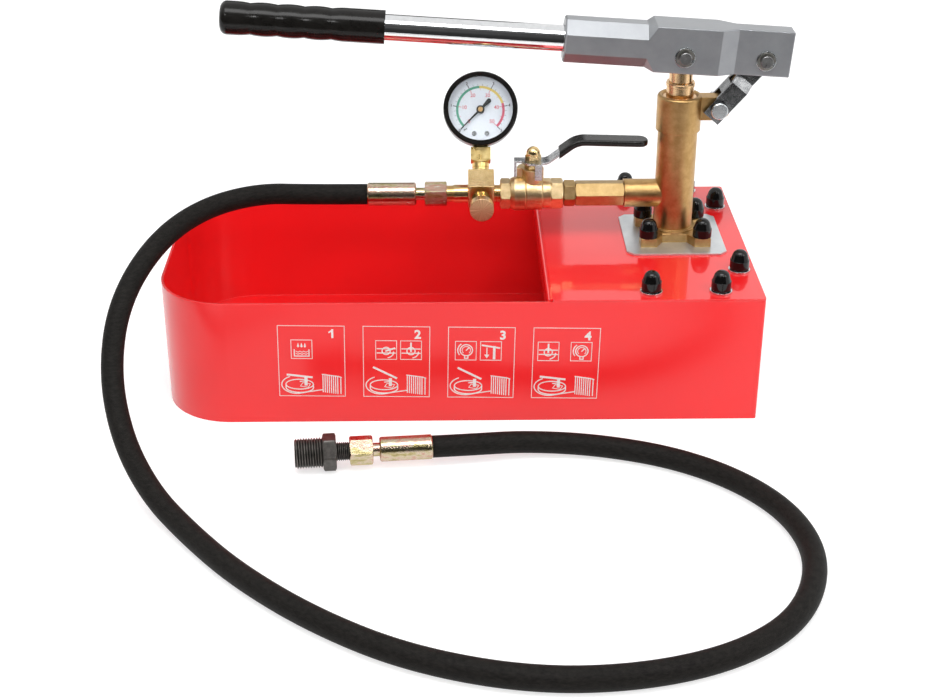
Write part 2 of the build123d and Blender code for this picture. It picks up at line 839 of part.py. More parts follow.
def lever_line(end_reach):
    """Side view of the lever's middle, from the stem out to a given reach."""
    return FilletPolyline(
        (0, lever_height),
        (lever_flat_reach, lever_height),
        (lever_rise_reach, lever_height + lever_rise),
        (end_reach, lever_height + lever_rise - lever_tip_drop),
        radius=[lever_root_bend, lever_top_bend],
    )


def make_valve_lever():
    """Bent steel lever with two tabs that turn down and meet the stop beside the tower."""
    side = Plane.XZ * trace(lever_line(lever_grip_reach), lever_sheet)
    lever = extrude(side, lever_arm_width / 2, both=True)
    under = lever_height - lever_sheet / 2
    top = under + lever_sheet
    tail = stop_radius + free_gap + lever_sheet
    front = tower_radius + free_gap + lever_sheet
    lever += rod(lever_width / 2, under, top)
    lever += Pos(-tail, lever_tail_offset, top) * Box(
        tail, lever_tail_width, lever_sheet, align=(Align.MIN, Align.CENTER, Align.MAX))
    lever += Pos(-tail, lever_tail_offset, top) * Box(
        lever_sheet, lever_tail_width, lever_tab_length + lever_sheet,
        align=(Align.MIN, Align.CENTER, Align.MAX))
    lever += Pos(lever_front_tab_offset, -front, top) * Box(
        lever_front_tab_width, front, lever_sheet, align=(Align.CENTER, Align.MIN, Align.MAX))
    lever += Pos(lever_front_tab_offset, -front, top) * Box(
        lever_front_tab_width, lever_sheet, lever_tab_length + lever_sheet,
        align=(Align.CENTER, Align.MIN, Align.MAX))
    lever -= rod(stem_thread_radius + slip, 0, 2 * lever_height)
    return Pos(valve_x, pump_y, pipe_z) * lever


def make_lever_sleeve():
    """Dipped vinyl sleeve round the outer part of the lever."""
    line = lever_line(lever_grip_reach + sleeve_past_arm)
    sleeve = extrude(Plane.XZ * trace(line, sleeve_thickness), sleeve_width / 2, both=True)
    sleeve &= Pos(sleeve_start, 0, 0) * Box(
        lever_grip_reach, sleeve_width, 4 * lever_height, align=(Align.MIN, Align.CENTER, Align.CENTER))
    tip_edges = sleeve.faces().sort_by(Axis.X)[-1].edges().filter_by(Axis.Z, tolerance=5)
    sleeve = fillet(tip_edges, sleeve_width / 2 - sleeve_tip_flat)
    start_edges = sleeve.faces().sort_by(Axis.X)[0].edges()
    long_edges = [edge for edge in sleeve.edges() if edge.center().X > sleeve_start + sleeve_edge]
    long_edges = [edge for edge in long_edges if edge not in start_edges]
    long_edges = [edge for edge in long_edges if edge.length > sleeve_thickness + sleeve_edge]
    sleeve = fillet(long_edges, sleeve_edge)
    arm = extrude(
        Plane.XZ * trace(lever_line(lever_grip_reach + running), lever_sheet + 2 * running),
        lever_arm_width / 2 + running, both=True)
    return Pos(valve_x, pump_y, pipe_z) * (sleeve - arm)


def make_lever_nut():
    """Domed nut on the stem."""
    seat = lever_height + lever_sheet / 2
    dome_start = seat + lever_nut_dome_start
    nut = chamfered_hexagon(lever_nut_flats, seat, seat + lever_nut_height)
    nut += rod(lever_nut_flats / 2, seat + lever_nut_height / 2, dome_start)
    nut += Pos(0, 0, dome_start) * Sphere(lever_nut_flats / 2)
    nut -= rod(lever_nut_flats, 0, seat)
    nut -= rod(stem_thread_radius + slip, 0, dome_start + slip)
    return Pos(valve_x, pump_y, pipe_z) * nut


def make_manifold_nipple():
    body = rod(thread_radius, tee_right - tee_thread_depth, valve_left + tee_thread_depth)
    body -= rod(fitting_bore, tee_left, valve_x)
    return along_x(body)


def make_manifold_block():
    """Hexagon block with pipe ports left and right, the bleed port in front and the gauge port.

    Its middle lies above the pipe, which leaves more metal round the gauge port.
    """
    block = Pos(0, 0, tee_rise) * along_x(hexagon(tee_flats, tee_left, tee_right))
    block = chamfer(block.edges().filter_by(Axis.X, reverse=True), free_gap)
    ports = rod(fitting_bore, tee_left - overrun, tee_right + overrun)
    ports += rod(female_radius, tee_left - overrun, tee_left + tee_thread_depth + slip)
    ports += rod(female_radius, tee_right - tee_thread_depth - slip, tee_right + overrun)
    block -= along_x(ports)
    face = tee_flats / 2
    bleed = rod(bleed_tip_length / 2, 0, face)
    bleed += rod(bleed_thread_radius + slip, face - bleed_thread_depth - slip, face + overrun)
    block -= Pos(tee_x, pump_y, pipe_z) * Rot(90, 0, 0) * bleed
    gauge = rod(bleed_tip_length / 2, 0, gauge_face)
    gauge += rod(female_radius, gauge_face - gauge_thread_depth - slip, gauge_face + overrun)
    return block - tee_frame * gauge


def make_outlet_adapter():
    """Round barrel from the tee to the hose nut."""
    body = rod(adapter_barrel_radius, barrel_left, tee_left)
    body += rod(thread_radius, tee_left, tee_left + tee_thread_depth)
    body += rod(adapter_thread_radius, hose_nut_right - thread_length, barrel_left)
    body -= rod(fitting_bore, hose_nut_left, tee_x)
    return along_x(body)


def make_bleed_nut():
    face = tee_flats / 2
    nut = Pos(0, 0, face) * Cone(bleed_nut_radius, bleed_nut_face_radius, bleed_nut_length, align=upright)
    nut += rod(bleed_thread_radius, face - bleed_thread_depth, face)
    nut -= rod(bleed_spindle_radius + running, 0, face + bleed_nut_length + overrun)
    return Pos(tee_x, pump_y, pipe_z) * Rot(90, 0, 0) * nut


def make_bleed_screw():
    """Spindle with a pointed end and a round knob."""
    tip = tee_flats / 2 - bleed_thread_depth + free_gap
    knob_back = bleed_knob_from_axis - bleed_knob_thickness
    screw = rod(bleed_spindle_radius, tip + bleed_tip_length, knob_back)
    screw += Pos(0, 0, tip) * Cone(running, bleed_spindle_radius, bleed_tip_length, align=upright)
    knob = rod(bleed_knob_radius, knob_back, bleed_knob_from_axis)
    screw += chamfer(knob.edges().filter_by(GeomType.CIRCLE), free_gap)
    return Pos(tee_x, pump_y, pipe_z) * Rot(90, 0, 0) * screw


def make_gauge_socket():
    """Brass stem of the gauge: thread, grooved neck, square and the block inside the case."""
    square_top = gauge_height - bezel_radius - free_gap
    stem = rod(thread_radius, gauge_face - gauge_thread_depth, socket_square_start)
    stem -= ring(
        thread_radius + overrun, socket_groove_radius, socket_groove_start,
        socket_groove_start + socket_groove_length)
    height = square_top - socket_square_start
    square = Box(socket_square_size, socket_square_size, height, align=upright)
    square &= Cone(
        socket_square_size / 2, socket_square_size / 2 + height / math.tan(math.radians(30)), height,
        align=upright)
    stem += Pos(0, 0, socket_square_start) * square
    stem += Pos(0, 0, square_top) * Box(
        socket_block_width, socket_block_depth, gauge_height - socket_block_top - square_top,
        align=upright)
    stem -= rod(bleed_tip_length / 2, 0, gauge_height - socket_block_top - bleed_tip_length)
    return tee_frame * stem


def facing(radius, front, back):
    """Disc of the gauge, from a depth in front of its middle to one behind it."""
    return along_y(rod(radius, -front, back))


def make_gauge_case():
    case = facing(case_radius, case_front, case_back)
    case = fillet(case.edges().filter_by(GeomType.CIRCLE).sort_by(Axis.Y)[-1], case_back_fillet)
    inner = facing(case_radius - case_wall, case_front + overrun, case_back - case_wall)
    inner_edge = inner.edges().filter_by(GeomType.CIRCLE).sort_by(Axis.Y)[-1]
    case -= fillet(inner_edge, case_back_fillet - case_wall)
    case -= Pos(0, 0, -case_radius) * Box(
        socket_block_width + 2 * slip, socket_block_depth + 2 * slip, case_radius)
    return gauge_frame * case


def make_gauge_bezel():
    lip_front = case_front + window_sheet + bezel_lip + slip
    bezel = facing(bezel_radius, lip_front, -lip_front + bezel_lip + bezel_skirt)
    bezel = fillet(bezel.edges().filter_by(GeomType.CIRCLE).sort_by(Axis.Y)[0], bezel_fillet)
    bezel -= facing(case_radius + slip, case_front + window_sheet + slip, case_back)
    bezel -= facing(bezel_opening, lip_front + overrun, case_back)
    return gauge_frame * bezel


def make_gauge_window():
    return gauge_frame * facing(case_radius, case_front + window_sheet, -case_front)


def make_gauge_dial():
    dial = facing(case_radius - case_wall - slip, dial_front, dial_sheet - dial_front)
    return gauge_frame * (dial - facing(arbor_radius + slip, case_front, case_back))


def make_gauge_needle():
    """Pointer, hub and the arbor that turns in the movement, with the pointer at zero."""
    blade = make_face(Polyline(
        (needle_length, 0),
        (0, needle_width / 2),
        (-needle_tail, needle_tail_width / 2),
        (-needle_tail, -needle_tail_width / 2),
        (0, -needle_width / 2),
        close=True,
    ))
    blade = Rot(0, 0, needle_rest_angle) * blade
    pointer = Pos(0, -needle_front + needle_sheet, 0) * extrude(Plane.XZ * blade, needle_sheet)
    pointer += facing(needle_hub_radius, needle_front, needle_hub_depth - needle_front)
    pointer += facing(arbor_radius, needle_front, movement_back)
    return gauge_frame * pointer


def make_gauge_movement():
    bottom = -socket_block_top + slip
    block = Pos(0, (movement_back - movement_front) / 2, bottom) * Box(
        movement_width, movement_front + movement_back, movement_top - bottom, align=upright)
    return gauge_frame * (block - facing(arbor_radius + running, case_front, case_back))


def make_bourdon_tube():
    """Flattened tube bent round inside the case, from the socket's block."""
    section = Pos(bourdon_radius, 0) * Ellipse(bourdon_half_thickness, bourdon_half_depth)
    section = Plane.XY * section
    tube = revolve(section, Axis.Y, -bourdon_sweep)
    beside_block = (socket_block_width / 2 + slip) / (bourdon_radius - bourdon_half_thickness)
    start_angle = math.degrees(math.asin(beside_block))
    return gauge_frame * Pos(0, movement_back - bourdon_half_depth, 0) * Rot(
        0, 90 - start_angle, 0) * tube


def head_plan():
    """Plan of the head, wide round the plunger and narrow at the fulcrum."""
    wide = head_width / 2
    narrow = head_narrow_width / 2
    points = [
        (-head_left, wide),
        (head_wide_reach, wide),
        (head_taper_reach, narrow),
        (head_reach, narrow),
    ]
    mirrored = [(x, -y) for x, y in reversed(points)]
    return make_face(Polyline(*points, *mirrored, close=True))


def head_box(left, right, width, bottom, top):
    """Box in the handle's frame."""
    return Pos(left, 0, bottom) * Box(
        right - left, width, top - bottom, align=(Align.MIN, Align.CENTER, Align.MIN))


def fulcrum(shape):
    """Shape moved to the fulcrum pin, in the handle's frame."""
    return Pos(fulcrum_reach, 0, -fulcrum_drop) * shape


def head_section(place, bottom, top, cut):
    """Cross-section of the head's left part, a rectangle with equal cuts at its corners."""
    half = head_width / 2
    points = [
        (half - cut, bottom), (half, bottom + cut), (half, top - cut), (half - cut, top),
        (cut - half, top), (-half, top - cut), (-half, bottom + cut), (cut - half, bottom),
    ]
    plane = Plane((place, 0, 0), x_dir=(0, 1, 0), z_dir=(1, 0, 0))
    return plane * make_face(Polyline(*points, close=True))


def make_handle_head():
    """Cast head: octagon socket for the tube and a slotted box that carries both pins."""
    box = Pos(0, 0, -head_below_pin) * extrude(head_plan(), head_below_pin + head_above_pin)
    left_edges = box.faces().sort_by(Axis.X)[0].edges()
    box = fillet([edge for edge in box.edges() if edge not in left_edges], head_fillet)
    octagon = head_section(-head_socket_from, head_socket_bottom, head_socket_top, head_socket_cut)
    end = head_section(-head_left, -head_below_pin, head_above_pin, head_fillet)
    socket = extrude(octagon, head_socket_from - head_socket_reach)
    socket = chamfer(socket.faces().sort_by(Axis.X)[0].edges(), head_fillet)
    head = box + loft([octagon, end], ruled=True) + socket
    head -= Pos(-head_socket_reach, 0, handle_axis_above_pin) * Rot(0, 90, 0) * rod(
        handle_tube_radius + slip, -overrun, socket_bore_depth)
    slot_width = 2 * (plunger_radius + free_gap)
    below = -head_below_pin - overrun
    head -= head_box(-wide_slot_left, wide_slot_right, slot_width, below, slot_crown)
    head -= head_box(0, head_reach - head_end_wall, narrow_slot_width, below, narrow_slot_crown)
    pin_hole = along_y(rod(handle_pin_radius + running, -head_width, head_width))
    head -= pin_hole
    head -= fulcrum(pin_hole)
    return handle_frame * head


def make_handle_tube():
    tube = Pos(0, 0, handle_axis_above_pin) * Rot(0, 90, 0) * ring(
        handle_tube_radius, handle_tube_radius - handle_tube_wall,
        -handle_reach + grip_end_wall, -head_socket_reach + socket_bore_depth - slip)
    return handle_frame * tube


def grip_profile():
    """Half section of the grip: low bulges that meet in sharp notches."""
    half_pitch = grip_notch_pitch / 2
    swell = half_pitch ** 2 / (2 * grip_notch_depth) + grip_notch_depth / 2
    quarter_drop = swell - math.sqrt(swell ** 2 - (half_pitch / 2) ** 2)
    floor = grip_radius - grip_notch_depth
    first = grip_notch_from_end
    last = first + (grip_notch_count - 1) * grip_notch_pitch
    lines = [Polyline((0, 0), (grip_radius, 0), (grip_radius, first - half_pitch))]
    lines.append(ThreePointArc(
        (grip_radius, first - half_pitch), (grip_radius - quarter_drop, first - half_pitch / 2),
        (floor, first)))
    for index in range(grip_notch_count - 1):
        notch = first + index * grip_notch_pitch
        lines.append(ThreePointArc(
            (floor, notch), (grip_radius, notch + half_pitch), (floor, notch + grip_notch_pitch)))
    lines.append(ThreePointArc(
        (floor, last), (grip_radius - quarter_drop, last + half_pitch / 2),
        (grip_radius, last + half_pitch)))
    lines.append(Polyline(
        (grip_radius, last + half_pitch), (grip_radius, grip_length), (0, grip_length), (0, 0)))
    return make_face(lines)


def make_handle_grip():
    """Moulded grip with notches round it, closed at its outer end."""
    grip = revolve(Plane.XZ * grip_profile(), Axis.Z)
    grip = fillet(grip.edges().sort_by(Axis.Z)[0], grip_end_fillet)
    grip -= rod(handle_tube_radius + running, grip_end_wall, grip_length + overrun)
    return handle_frame * Pos(-handle_reach, 0, handle_axis_above_pin) * Rot(0, 90, 0) * grip


def pin_parts(half_width):
    """Headless pin with a groove for a circlip near each end, on the Y axis."""
    clip_near = half_width + pin_washer_sheet + running
    clip_far = clip_near + circlip_sheet
    length = clip_far + pin_end_past_clip
    pin = rod(handle_pin_radius, -length, length)
    pin = chamfer(pin.edges().filter_by(GeomType.CIRCLE), free_gap)
    clips = []
    washers = []
    for side in (-1, 1):
        near, far = sorted((side * clip_near, side * clip_far))
        pin -= ring(
            handle_pin_radius + overrun, handle_pin_radius - circlip_groove_depth,
            near - running, far + running)
        clip = ring(circlip_radius, handle_pin_radius - circlip_groove_depth + running, near, far)
        clip -= Pos(0, handle_pin_radius, near) * Box(
            circlip_mouth, 4 * handle_pin_radius, 4 * circlip_sheet,
            align=(Align.CENTER, Align.MIN, Align.CENTER))
        clips.append(along_y(Rot(0, 0, circlip_turn) * clip))
        seat = sorted((side * half_width, side * (half_width + pin_washer_sheet)))
        washers.append(along_y(ring(pin_washer_radius, handle_pin_radius + running, *seat)))
    return along_y(pin), clips, washers


def make_link_parts():
    """Link strap, its bolt and its nut, made along X from the bolt."""
    rise = pin_z - math.sin(math.radians(handle_tilt)) * fulcrum_reach
    rise -= math.cos(math.radians(handle_tilt)) * fulcrum_drop + ear_z
    run = math.cos(math.radians(handle_tilt)) * fulcrum_reach
    run -= math.sin(math.radians(handle_tilt)) * fulcrum_drop + ear_reach
    reach = math.hypot(run, rise)
    frame = Pos(ear_x, pump_y, ear_z) * Rot(0, -math.degrees(math.atan2(rise, run)), 0)
    lower = ear_width / 2 + free_gap + link_sheet / 2
    upper = link_upper_gap + link_sheet / 2
    strap = Part()
    for side in (-1, 1):
        line = Polyline(
            (-link_tail, side * lower),
            (link_joggle_start, side * lower),
            (link_joggle_end, side * upper),
            (reach, side * upper),
        )
        leg = extrude(trace(line, link_sheet), link_width / 2, both=True)
        eye = Pos(reach, 0, 0) * along_y(rod(
            link_eye_radius, side * upper - link_sheet / 2, side * upper + link_sheet / 2))
        strap += leg + eye
    web = Pos(link_web_start, 0, link_width / 2) * Box(
        link_web_end - link_web_start, 2 * lower, link_sheet, align=(Align.MIN, Align.CENTER, Align.MAX))
    strap += web
    strap -= Pos(reach, 0, 0) * along_y(rod(
        handle_pin_radius + link_eye_play, -head_narrow_width, head_narrow_width))
    strap -= along_y(rod(link_bolt_radius + running, -head_width, head_width))
    outside = lower + link_sheet / 2
    head = rod(link_bolt_head_radius, -outside - link_bolt_head_height, -outside)
    bolt = chamfer(head.edges().sort_by(Axis.Z)[0], free_gap * 2)
    bolt += rod(link_bolt_radius, -outside, outside + link_nut_height + seat_chamfer)
    nut = chamfered_hexagon(link_nut_flats, outside, outside + link_nut_height)
    nut -= rod(link_bolt_radius + slip, 0, outside + 2 * link_nut_height)
    return frame * strap, frame * along_y(bolt), frame * along_y(nut)


def make_upper_hose_nut():
    nut = chamfered_hexagon(fitting_flats, hose_nut_left, hose_nut_right)
    nut -= rod(adapter_thread_radius + slip, hose_nut_right - thread_length - slip, hose_nut_right + overrun)
    nut -= rod(hose_tail_radius + slip, hose_nut_left - overrun, hose_nut_right)
    return along_x(nut)


def make_upper_ferrule():
    """Crimped ferrule with the tail that the nut holds."""
    end = hose_nut_right - thread_length - slip
    body = rod(ferrule_radius, ferrule_left, ferrule_right)
    body = chamfer(body.edges().filter_by(GeomType.CIRCLE), seat_chamfer)
    body += rod(hose_tail_radius, ferrule_right, end)
    return along_x(body - rod(fitting_bore, ferrule_left - overrun, end + overrun))


def far_fitting(shape):
    """Shape made on the Z axis, laid on the floor from the hose's far end."""
    x, y, height = far_ferrule_face
    return Pos(x, y, height) * Rot(0, 0, far_heading) * Rot(0, 90, 0) * shape


def make_lower_ferrule():
    body = rod(ferrule_radius, 0, ferrule_length)
    body = chamfer(body.edges().filter_by(GeomType.CIRCLE), seat_chamfer)
    end = ferrule_length + far_tail_shows + far_nut_length / 2
    body += rod(hose_tail_radius, ferrule_length, end)
    return far_fitting(body - rod(fitting_bore, -overrun, end + overrun))


def make_lower_hose_nut():
    start = ferrule_length + far_tail_shows
    nut = Rot(0, 0, far_nut_turn) * chamfered_hexagon(far_nut_flats, start, start + far_nut_length)
    nut -= rod(hose_tail_radius + slip, start - overrun, start + far_nut_length)
    nut -= rod(female_radius, start + far_nut_length / 2, start + far_nut_length + overrun)
    return far_fitting(nut)


def make_thread_adapter():
    """Steel adapter with the small thread in the hose nut and the large one free."""
    start = ferrule_length + far_tail_shows + far_nut_length / 2 + slip
    hex_start = ferrule_length + far_tail_shows + far_nut_length + far_thread_shows
    end = hex_start + far_hex_length + far_thread_length
    body = rod(thread_radius, start, hex_start)
    body += Rot(0, 0, far_hex_turn) * chamfered_hexagon(far_hex_flats, hex_start, hex_start + far_hex_length)
    body += rod(far_thread_radius, hex_start + far_hex_length, end)
    return far_fitting(body - rod(far_bore, start - overrun, end + overrun))


def run_length(a, b):
    """Distance between two points of the route."""
    return (Vector(*b) - Vector(*a)).length


def make_hose():
    """Tube along straight runs joined by the largest arcs that they allow."""
    radii = []
    for before, here, after in zip(hose_route, hose_route[1:], hose_route[2:]):
        turn = (Vector(*here) - Vector(*before)).get_angle(Vector(*after) - Vector(*here))
        shorter = min(run_length(before, here), run_length(here, after))
        radii.append(0.45 * shorter / math.tan(math.radians(turn) / 2))
    path = FilletPolyline(*hose_route, radius=radii)
    hose = sweep(Plane(path @ 0, z_dir=path % 0) * Circle(hose_radius), path)
    expected = math.pi * hose_radius ** 2 * path.length
    print("hose length", round(path.length, 1), "volume share", round(hose.volume / expected, 5))
    print("hose radii", [round(radius) for radius in radii])
    print("hose runs", [round(run_length(a, b)) for a, b in zip(hose_route, hose_route[1:])])
    return hose


def build_parts():
    """Every piece of the pump by name."""
    deck_places = deck_screw_places()
    flange_places = flange_screw_places()
    plunger_pin, plunger_clips, plunger_washers = pin_parts(head_width / 2)
    fulcrum_pin, fulcrum_clips, fulcrum_washers = pin_parts(head_narrow_width / 2)
    link_strap, link_bolt, link_nut = make_link_parts()
    clips = [handle_frame * clip for clip in plunger_clips]
    clips += [handle_frame * fulcrum(clip) for clip in fulcrum_clips]
    washers = [handle_frame * washer for washer in plunger_washers]
    washers += [handle_frame * fulcrum(washer) for washer in fulcrum_washers]
    return {
        "tank_shell": make_tank_shell(),
        "deck_plate": make_deck_plate(),
        "deck_bolts": make_screws(
            deck_places, tank_wall_height - rim_flange_sheet, deck_top + washer_sheet),
        "deck_washers": make_washers(deck_places, deck_top),
        "deck_nuts": make_nuts(deck_places, deck_top + washer_sheet),
        "deck_caps": make_caps(deck_places, deck_top + washer_sheet + cap_above_washer),
        "base_plate": make_base_plate(),
        "flange_bolts": make_screws(flange_places, tank_wall_height, flange_top),
        "flange_nuts": make_nuts(flange_places, flange_top),
        "flange_caps": make_caps(flange_places, flange_top),
        "pump_cylinder": make_pump_cylinder(),
        "gland_packing": make_gland_packing(),
        "gland_nut": make_gland_nut(),
        "plunger": make_plunger(),
        "inlet_seat": make_inlet_seat(),
        "inlet_ball": make_inlet_ball(),
        "suction_tube": make_suction_tube(),
        "suction_strainer": make_suction_strainer(),
        "outlet_valve_body": make_outlet_valve_body(),
        "outlet_ball": make_outlet_ball(),
        "outlet_spring": make_outlet_spring(),
        "hex_nipple": make_hex_nipple(),
        "valve_body": make_valve_body(),
        "valve_end": make_valve_end(),
        "valve_seats": make_valve_seats(),
        "valve_ball": make_valve_ball(),
        "valve_stem": make_valve_stem(),
        "stem_packing_nut": make_stem_packing_nut(),
        "valve_lever": make_valve_lever(),
        "lever_sleeve": make_lever_sleeve(),
        "lever_nut": make_lever_nut(),
        "manifold_nipple": make_manifold_nipple(),
        "manifold_block": make_manifold_block(),
        "outlet_adapter": make_outlet_adapter(),
        "bleed_nut": make_bleed_nut(),
        "bleed_screw": make_bleed_screw(),
        "gauge_socket": make_gauge_socket(),
        "gauge_case": make_gauge_case(),
        "gauge_bezel": make_gauge_bezel(),
        "gauge_window": make_gauge_window(),
        "gauge_dial": make_gauge_dial(),
        "gauge_needle": make_gauge_needle(),
        "gauge_movement": make_gauge_movement(),
        "bourdon_tube": make_bourdon_tube(),
        "handle_head": make_handle_head(),
        "handle_tube": make_handle_tube(),
        "handle_grip": make_handle_grip(),
        "plunger_pin": handle_frame * plunger_pin,
        "fulcrum_pin": handle_frame * fulcrum(fulcrum_pin),
        "pin_circlips": Compound(clips),
        "pin_washers": Compound(washers),
        "link_strap": link_strap,
        "link_bolt": link_bolt,
        "link_nut": link_nut,
        "upper_hose_nut": make_upper_hose_nut(),
        "upper_ferrule": make_upper_ferrule(),
        "hose": make_hose(),
        "lower_ferrule": make_lower_ferrule(),
        "lower_hose_nut": make_lower_hose_nut(),
        "thread_adapter": make_thread_adapter(),
    }


os.makedirs("parts", exist_ok=True)
for name, shape in build_parts().items():
    export_step(shape, f"parts/{name}.step")
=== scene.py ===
import json
import math

import bmesh
import bpy
from mathutils import Matrix, Vector


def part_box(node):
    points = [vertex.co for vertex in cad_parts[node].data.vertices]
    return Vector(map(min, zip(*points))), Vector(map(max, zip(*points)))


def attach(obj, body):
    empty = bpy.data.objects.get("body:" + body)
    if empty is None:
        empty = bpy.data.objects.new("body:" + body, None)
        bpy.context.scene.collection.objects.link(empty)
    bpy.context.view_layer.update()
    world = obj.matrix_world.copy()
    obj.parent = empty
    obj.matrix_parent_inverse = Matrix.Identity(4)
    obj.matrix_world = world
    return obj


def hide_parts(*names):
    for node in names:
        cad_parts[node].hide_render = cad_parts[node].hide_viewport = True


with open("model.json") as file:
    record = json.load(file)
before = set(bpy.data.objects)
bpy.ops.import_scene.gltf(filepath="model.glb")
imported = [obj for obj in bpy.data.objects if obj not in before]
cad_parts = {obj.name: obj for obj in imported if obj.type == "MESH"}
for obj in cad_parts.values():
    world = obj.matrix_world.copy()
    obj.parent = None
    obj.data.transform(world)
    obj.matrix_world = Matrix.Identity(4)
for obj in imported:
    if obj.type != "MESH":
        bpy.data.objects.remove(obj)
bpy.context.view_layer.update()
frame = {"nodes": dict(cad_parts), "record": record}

# Camera. It stands a little over a metre in front of the tank at bench
# height and looks down at 27 degrees, as in the product photograph.
camera = bpy.data.cameras.new("camera")
camera.lens = 63.95
camera.sensor_width = 36
camera_stand = bpy.data.objects.new("camera", camera)
camera_stand.location = (-0.0109, -1.1489, 0.5977)
camera_stand.rotation_euler = (math.radians(62.62), 0, math.radians(-0.86))
bpy.context.scene.collection.objects.link(camera_stand)
bpy.context.scene.camera = camera_stand

# Hose. Black rubber pressure hose, wrapped in cloth while it cures, which
# leaves a fine woven print and faint spiral laps. It lies in one loop.
hose_route = [
    (-0.0677, 0.0070, 0.1309),
    (-0.1093, 0.0070, 0.1309),
    (-0.1489, -0.0062, 0.1374),
    (-0.1881, -0.0310, 0.1349),
    (-0.2160, -0.0722, 0.1253),
    (-0.2362, -0.1118, 0.0987),
    (-0.2400, -0.1458, 0.0625),
    (-0.2274, -0.1855, 0.0329),
    (-0.2035, -0.2260, 0.0150),
    (-0.1748, -0.2620, 0.0080),
    (-0.1390, -0.3080, 0.0080),
    (-0.0890, -0.3550, 0.0080),
    (-0.0320, -0.3920, 0.0080),
    (0.0365, -0.4125, 0.0080),
    (0.1005, -0.4105, 0.0080),
    (0.1575, -0.3915, 0.0080),
    (0.1990, -0.3565, 0.0080),
    (0.2205, -0.3025, 0.0080),
    (0.2160, -0.2510, 0.0080),
    (0.1905, -0.2075, 0.0080),
    (0.1484, -0.1740, 0.0080),
    (0.0956, -0.1560, 0.0084),
    (0.0457, -0.1540, 0.0106),
    (0.0075, -0.1624, 0.0132),
    (-0.0196, -0.1648, 0.0132),
]
hose_radius = 0.0077
hose_sides = 40
threads_round = 60
threads_per_metre = 1300
laps_round = 0.31831
laps_along = 4.4


def smooth_line(name, points):
    """Points along the smooth curve that a hose takes through its route."""
    curve = bpy.data.curves.new(name, "CURVE")
    curve.dimensions = "3D"
    spline = curve.splines.new("NURBS")
    spline.points.add(len(points) - 1)
    for point, place in zip(spline.points, points):
        point.co = (*place, 1)
    spline.order_u = 3
    spline.use_endpoint_u = True
    spline.resolution_u = 16
    holder = bpy.data.objects.new(name, curve)
    line = bpy.data.meshes.new_from_object(holder)
    places = [vertex.co.copy() for vertex in line.vertices]
    bpy.data.objects.remove(holder)
    return places


def add_piece(name, mesh, material, body):
    """Put a finished mesh in the scene on the part that carries it."""
    piece = bpy.data.objects.new(name, mesh)
    bpy.context.scene.collection.objects.link(piece)
    piece.data.materials.append(material)
    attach(piece, body)
    return piece


def tube_mesh(name, line, radius, sides):
    """Round tube along a line, with its length on the second texture axis."""
    mesh = bpy.data.meshes.new(name)
    shell = bmesh.new()
    unwrap = shell.loops.layers.uv.new("UVMap")
    heading = (line[1] - line[0]).normalized()
    across = heading.cross(Vector((0, 0, 1))).normalized()
    rings = []
    along = [0]
    for index, place in enumerate(line):
        if index:
            along.append(along[-1] + (place - line[index - 1]).length)
        ahead = line[min(index + 1, len(line) - 1)] - line[max(index - 1, 0)]
        turn = heading.rotation_difference(ahead.normalized())
        across.rotate(turn)
        heading = ahead.normalized()
        up = heading.cross(across)
        ring = []
        for step in range(sides):
            angle = 2 * math.pi * step / sides
            side = across * math.cos(angle) + up * math.sin(angle)
            ring.append(shell.verts.new(place + side * radius))
        rings.append(ring)
    for index, (near, far) in enumerate(zip(rings, rings[1:])):
        for step in range(sides):
            after = (step + 1) % sides
            face = shell.faces.new((near[step], near[after], far[after], far[step]))
            face.smooth = True
            corners = ((step, index), (step + 1, index), (step + 1, index + 1), (step, index + 1))
            for loop, (turn_share, ring_index) in zip(face.loops, corners):
                loop[unwrap].uv = (turn_share / sides, along[ring_index])
    for ring in (rings[0], rings[-1]):
        shell.faces.new(ring)
    bmesh.ops.recalc_face_normals(shell, faces=shell.faces)
    shell.to_mesh(mesh)
    shell.free()
    return mesh, along[-1]


def new_finish(name, colour, metal, rough):
    """Start a finish and hand back its parts, so each section can add grain to it."""
    material = bpy.data.materials.new(name)
    material.use_nodes = True
    tree = material.node_tree
    shader = tree.nodes["Principled BSDF"]
    shader.inputs["Base Color"].default_value = (*colour, 1)
    shader.inputs["Metallic"].default_value = metal
    shader.inputs["Roughness"].default_value = rough
    return material, tree, shader


def add_node(tree, kind, **inputs):
    """Add a shading node and set its named inputs."""
    node = tree.nodes.new(kind)
    for name, value in inputs.items():
        node.inputs[name.replace("_", " ")].default_value = value
    return node


def join(tree, start, end):
    """Wire one socket to another."""
    tree.links.new(start, end)


def two_tone(tree, shader, source, low, dark, high, light):
    """Colour a finish from dark to light between two marks of a pattern."""
    tone = add_node(tree, "ShaderNodeValToRGB")
    for stop, mark, colour in zip(tone.color_ramp.elements, (low, high), (dark, light)):
        stop.position = mark
        stop.color = (*colour, 1)
    join(tree, source, tone.inputs["Fac"])
    join(tree, tone.outputs["Color"], shader.inputs["Base Color"])
    return tone.color_ramp.elements


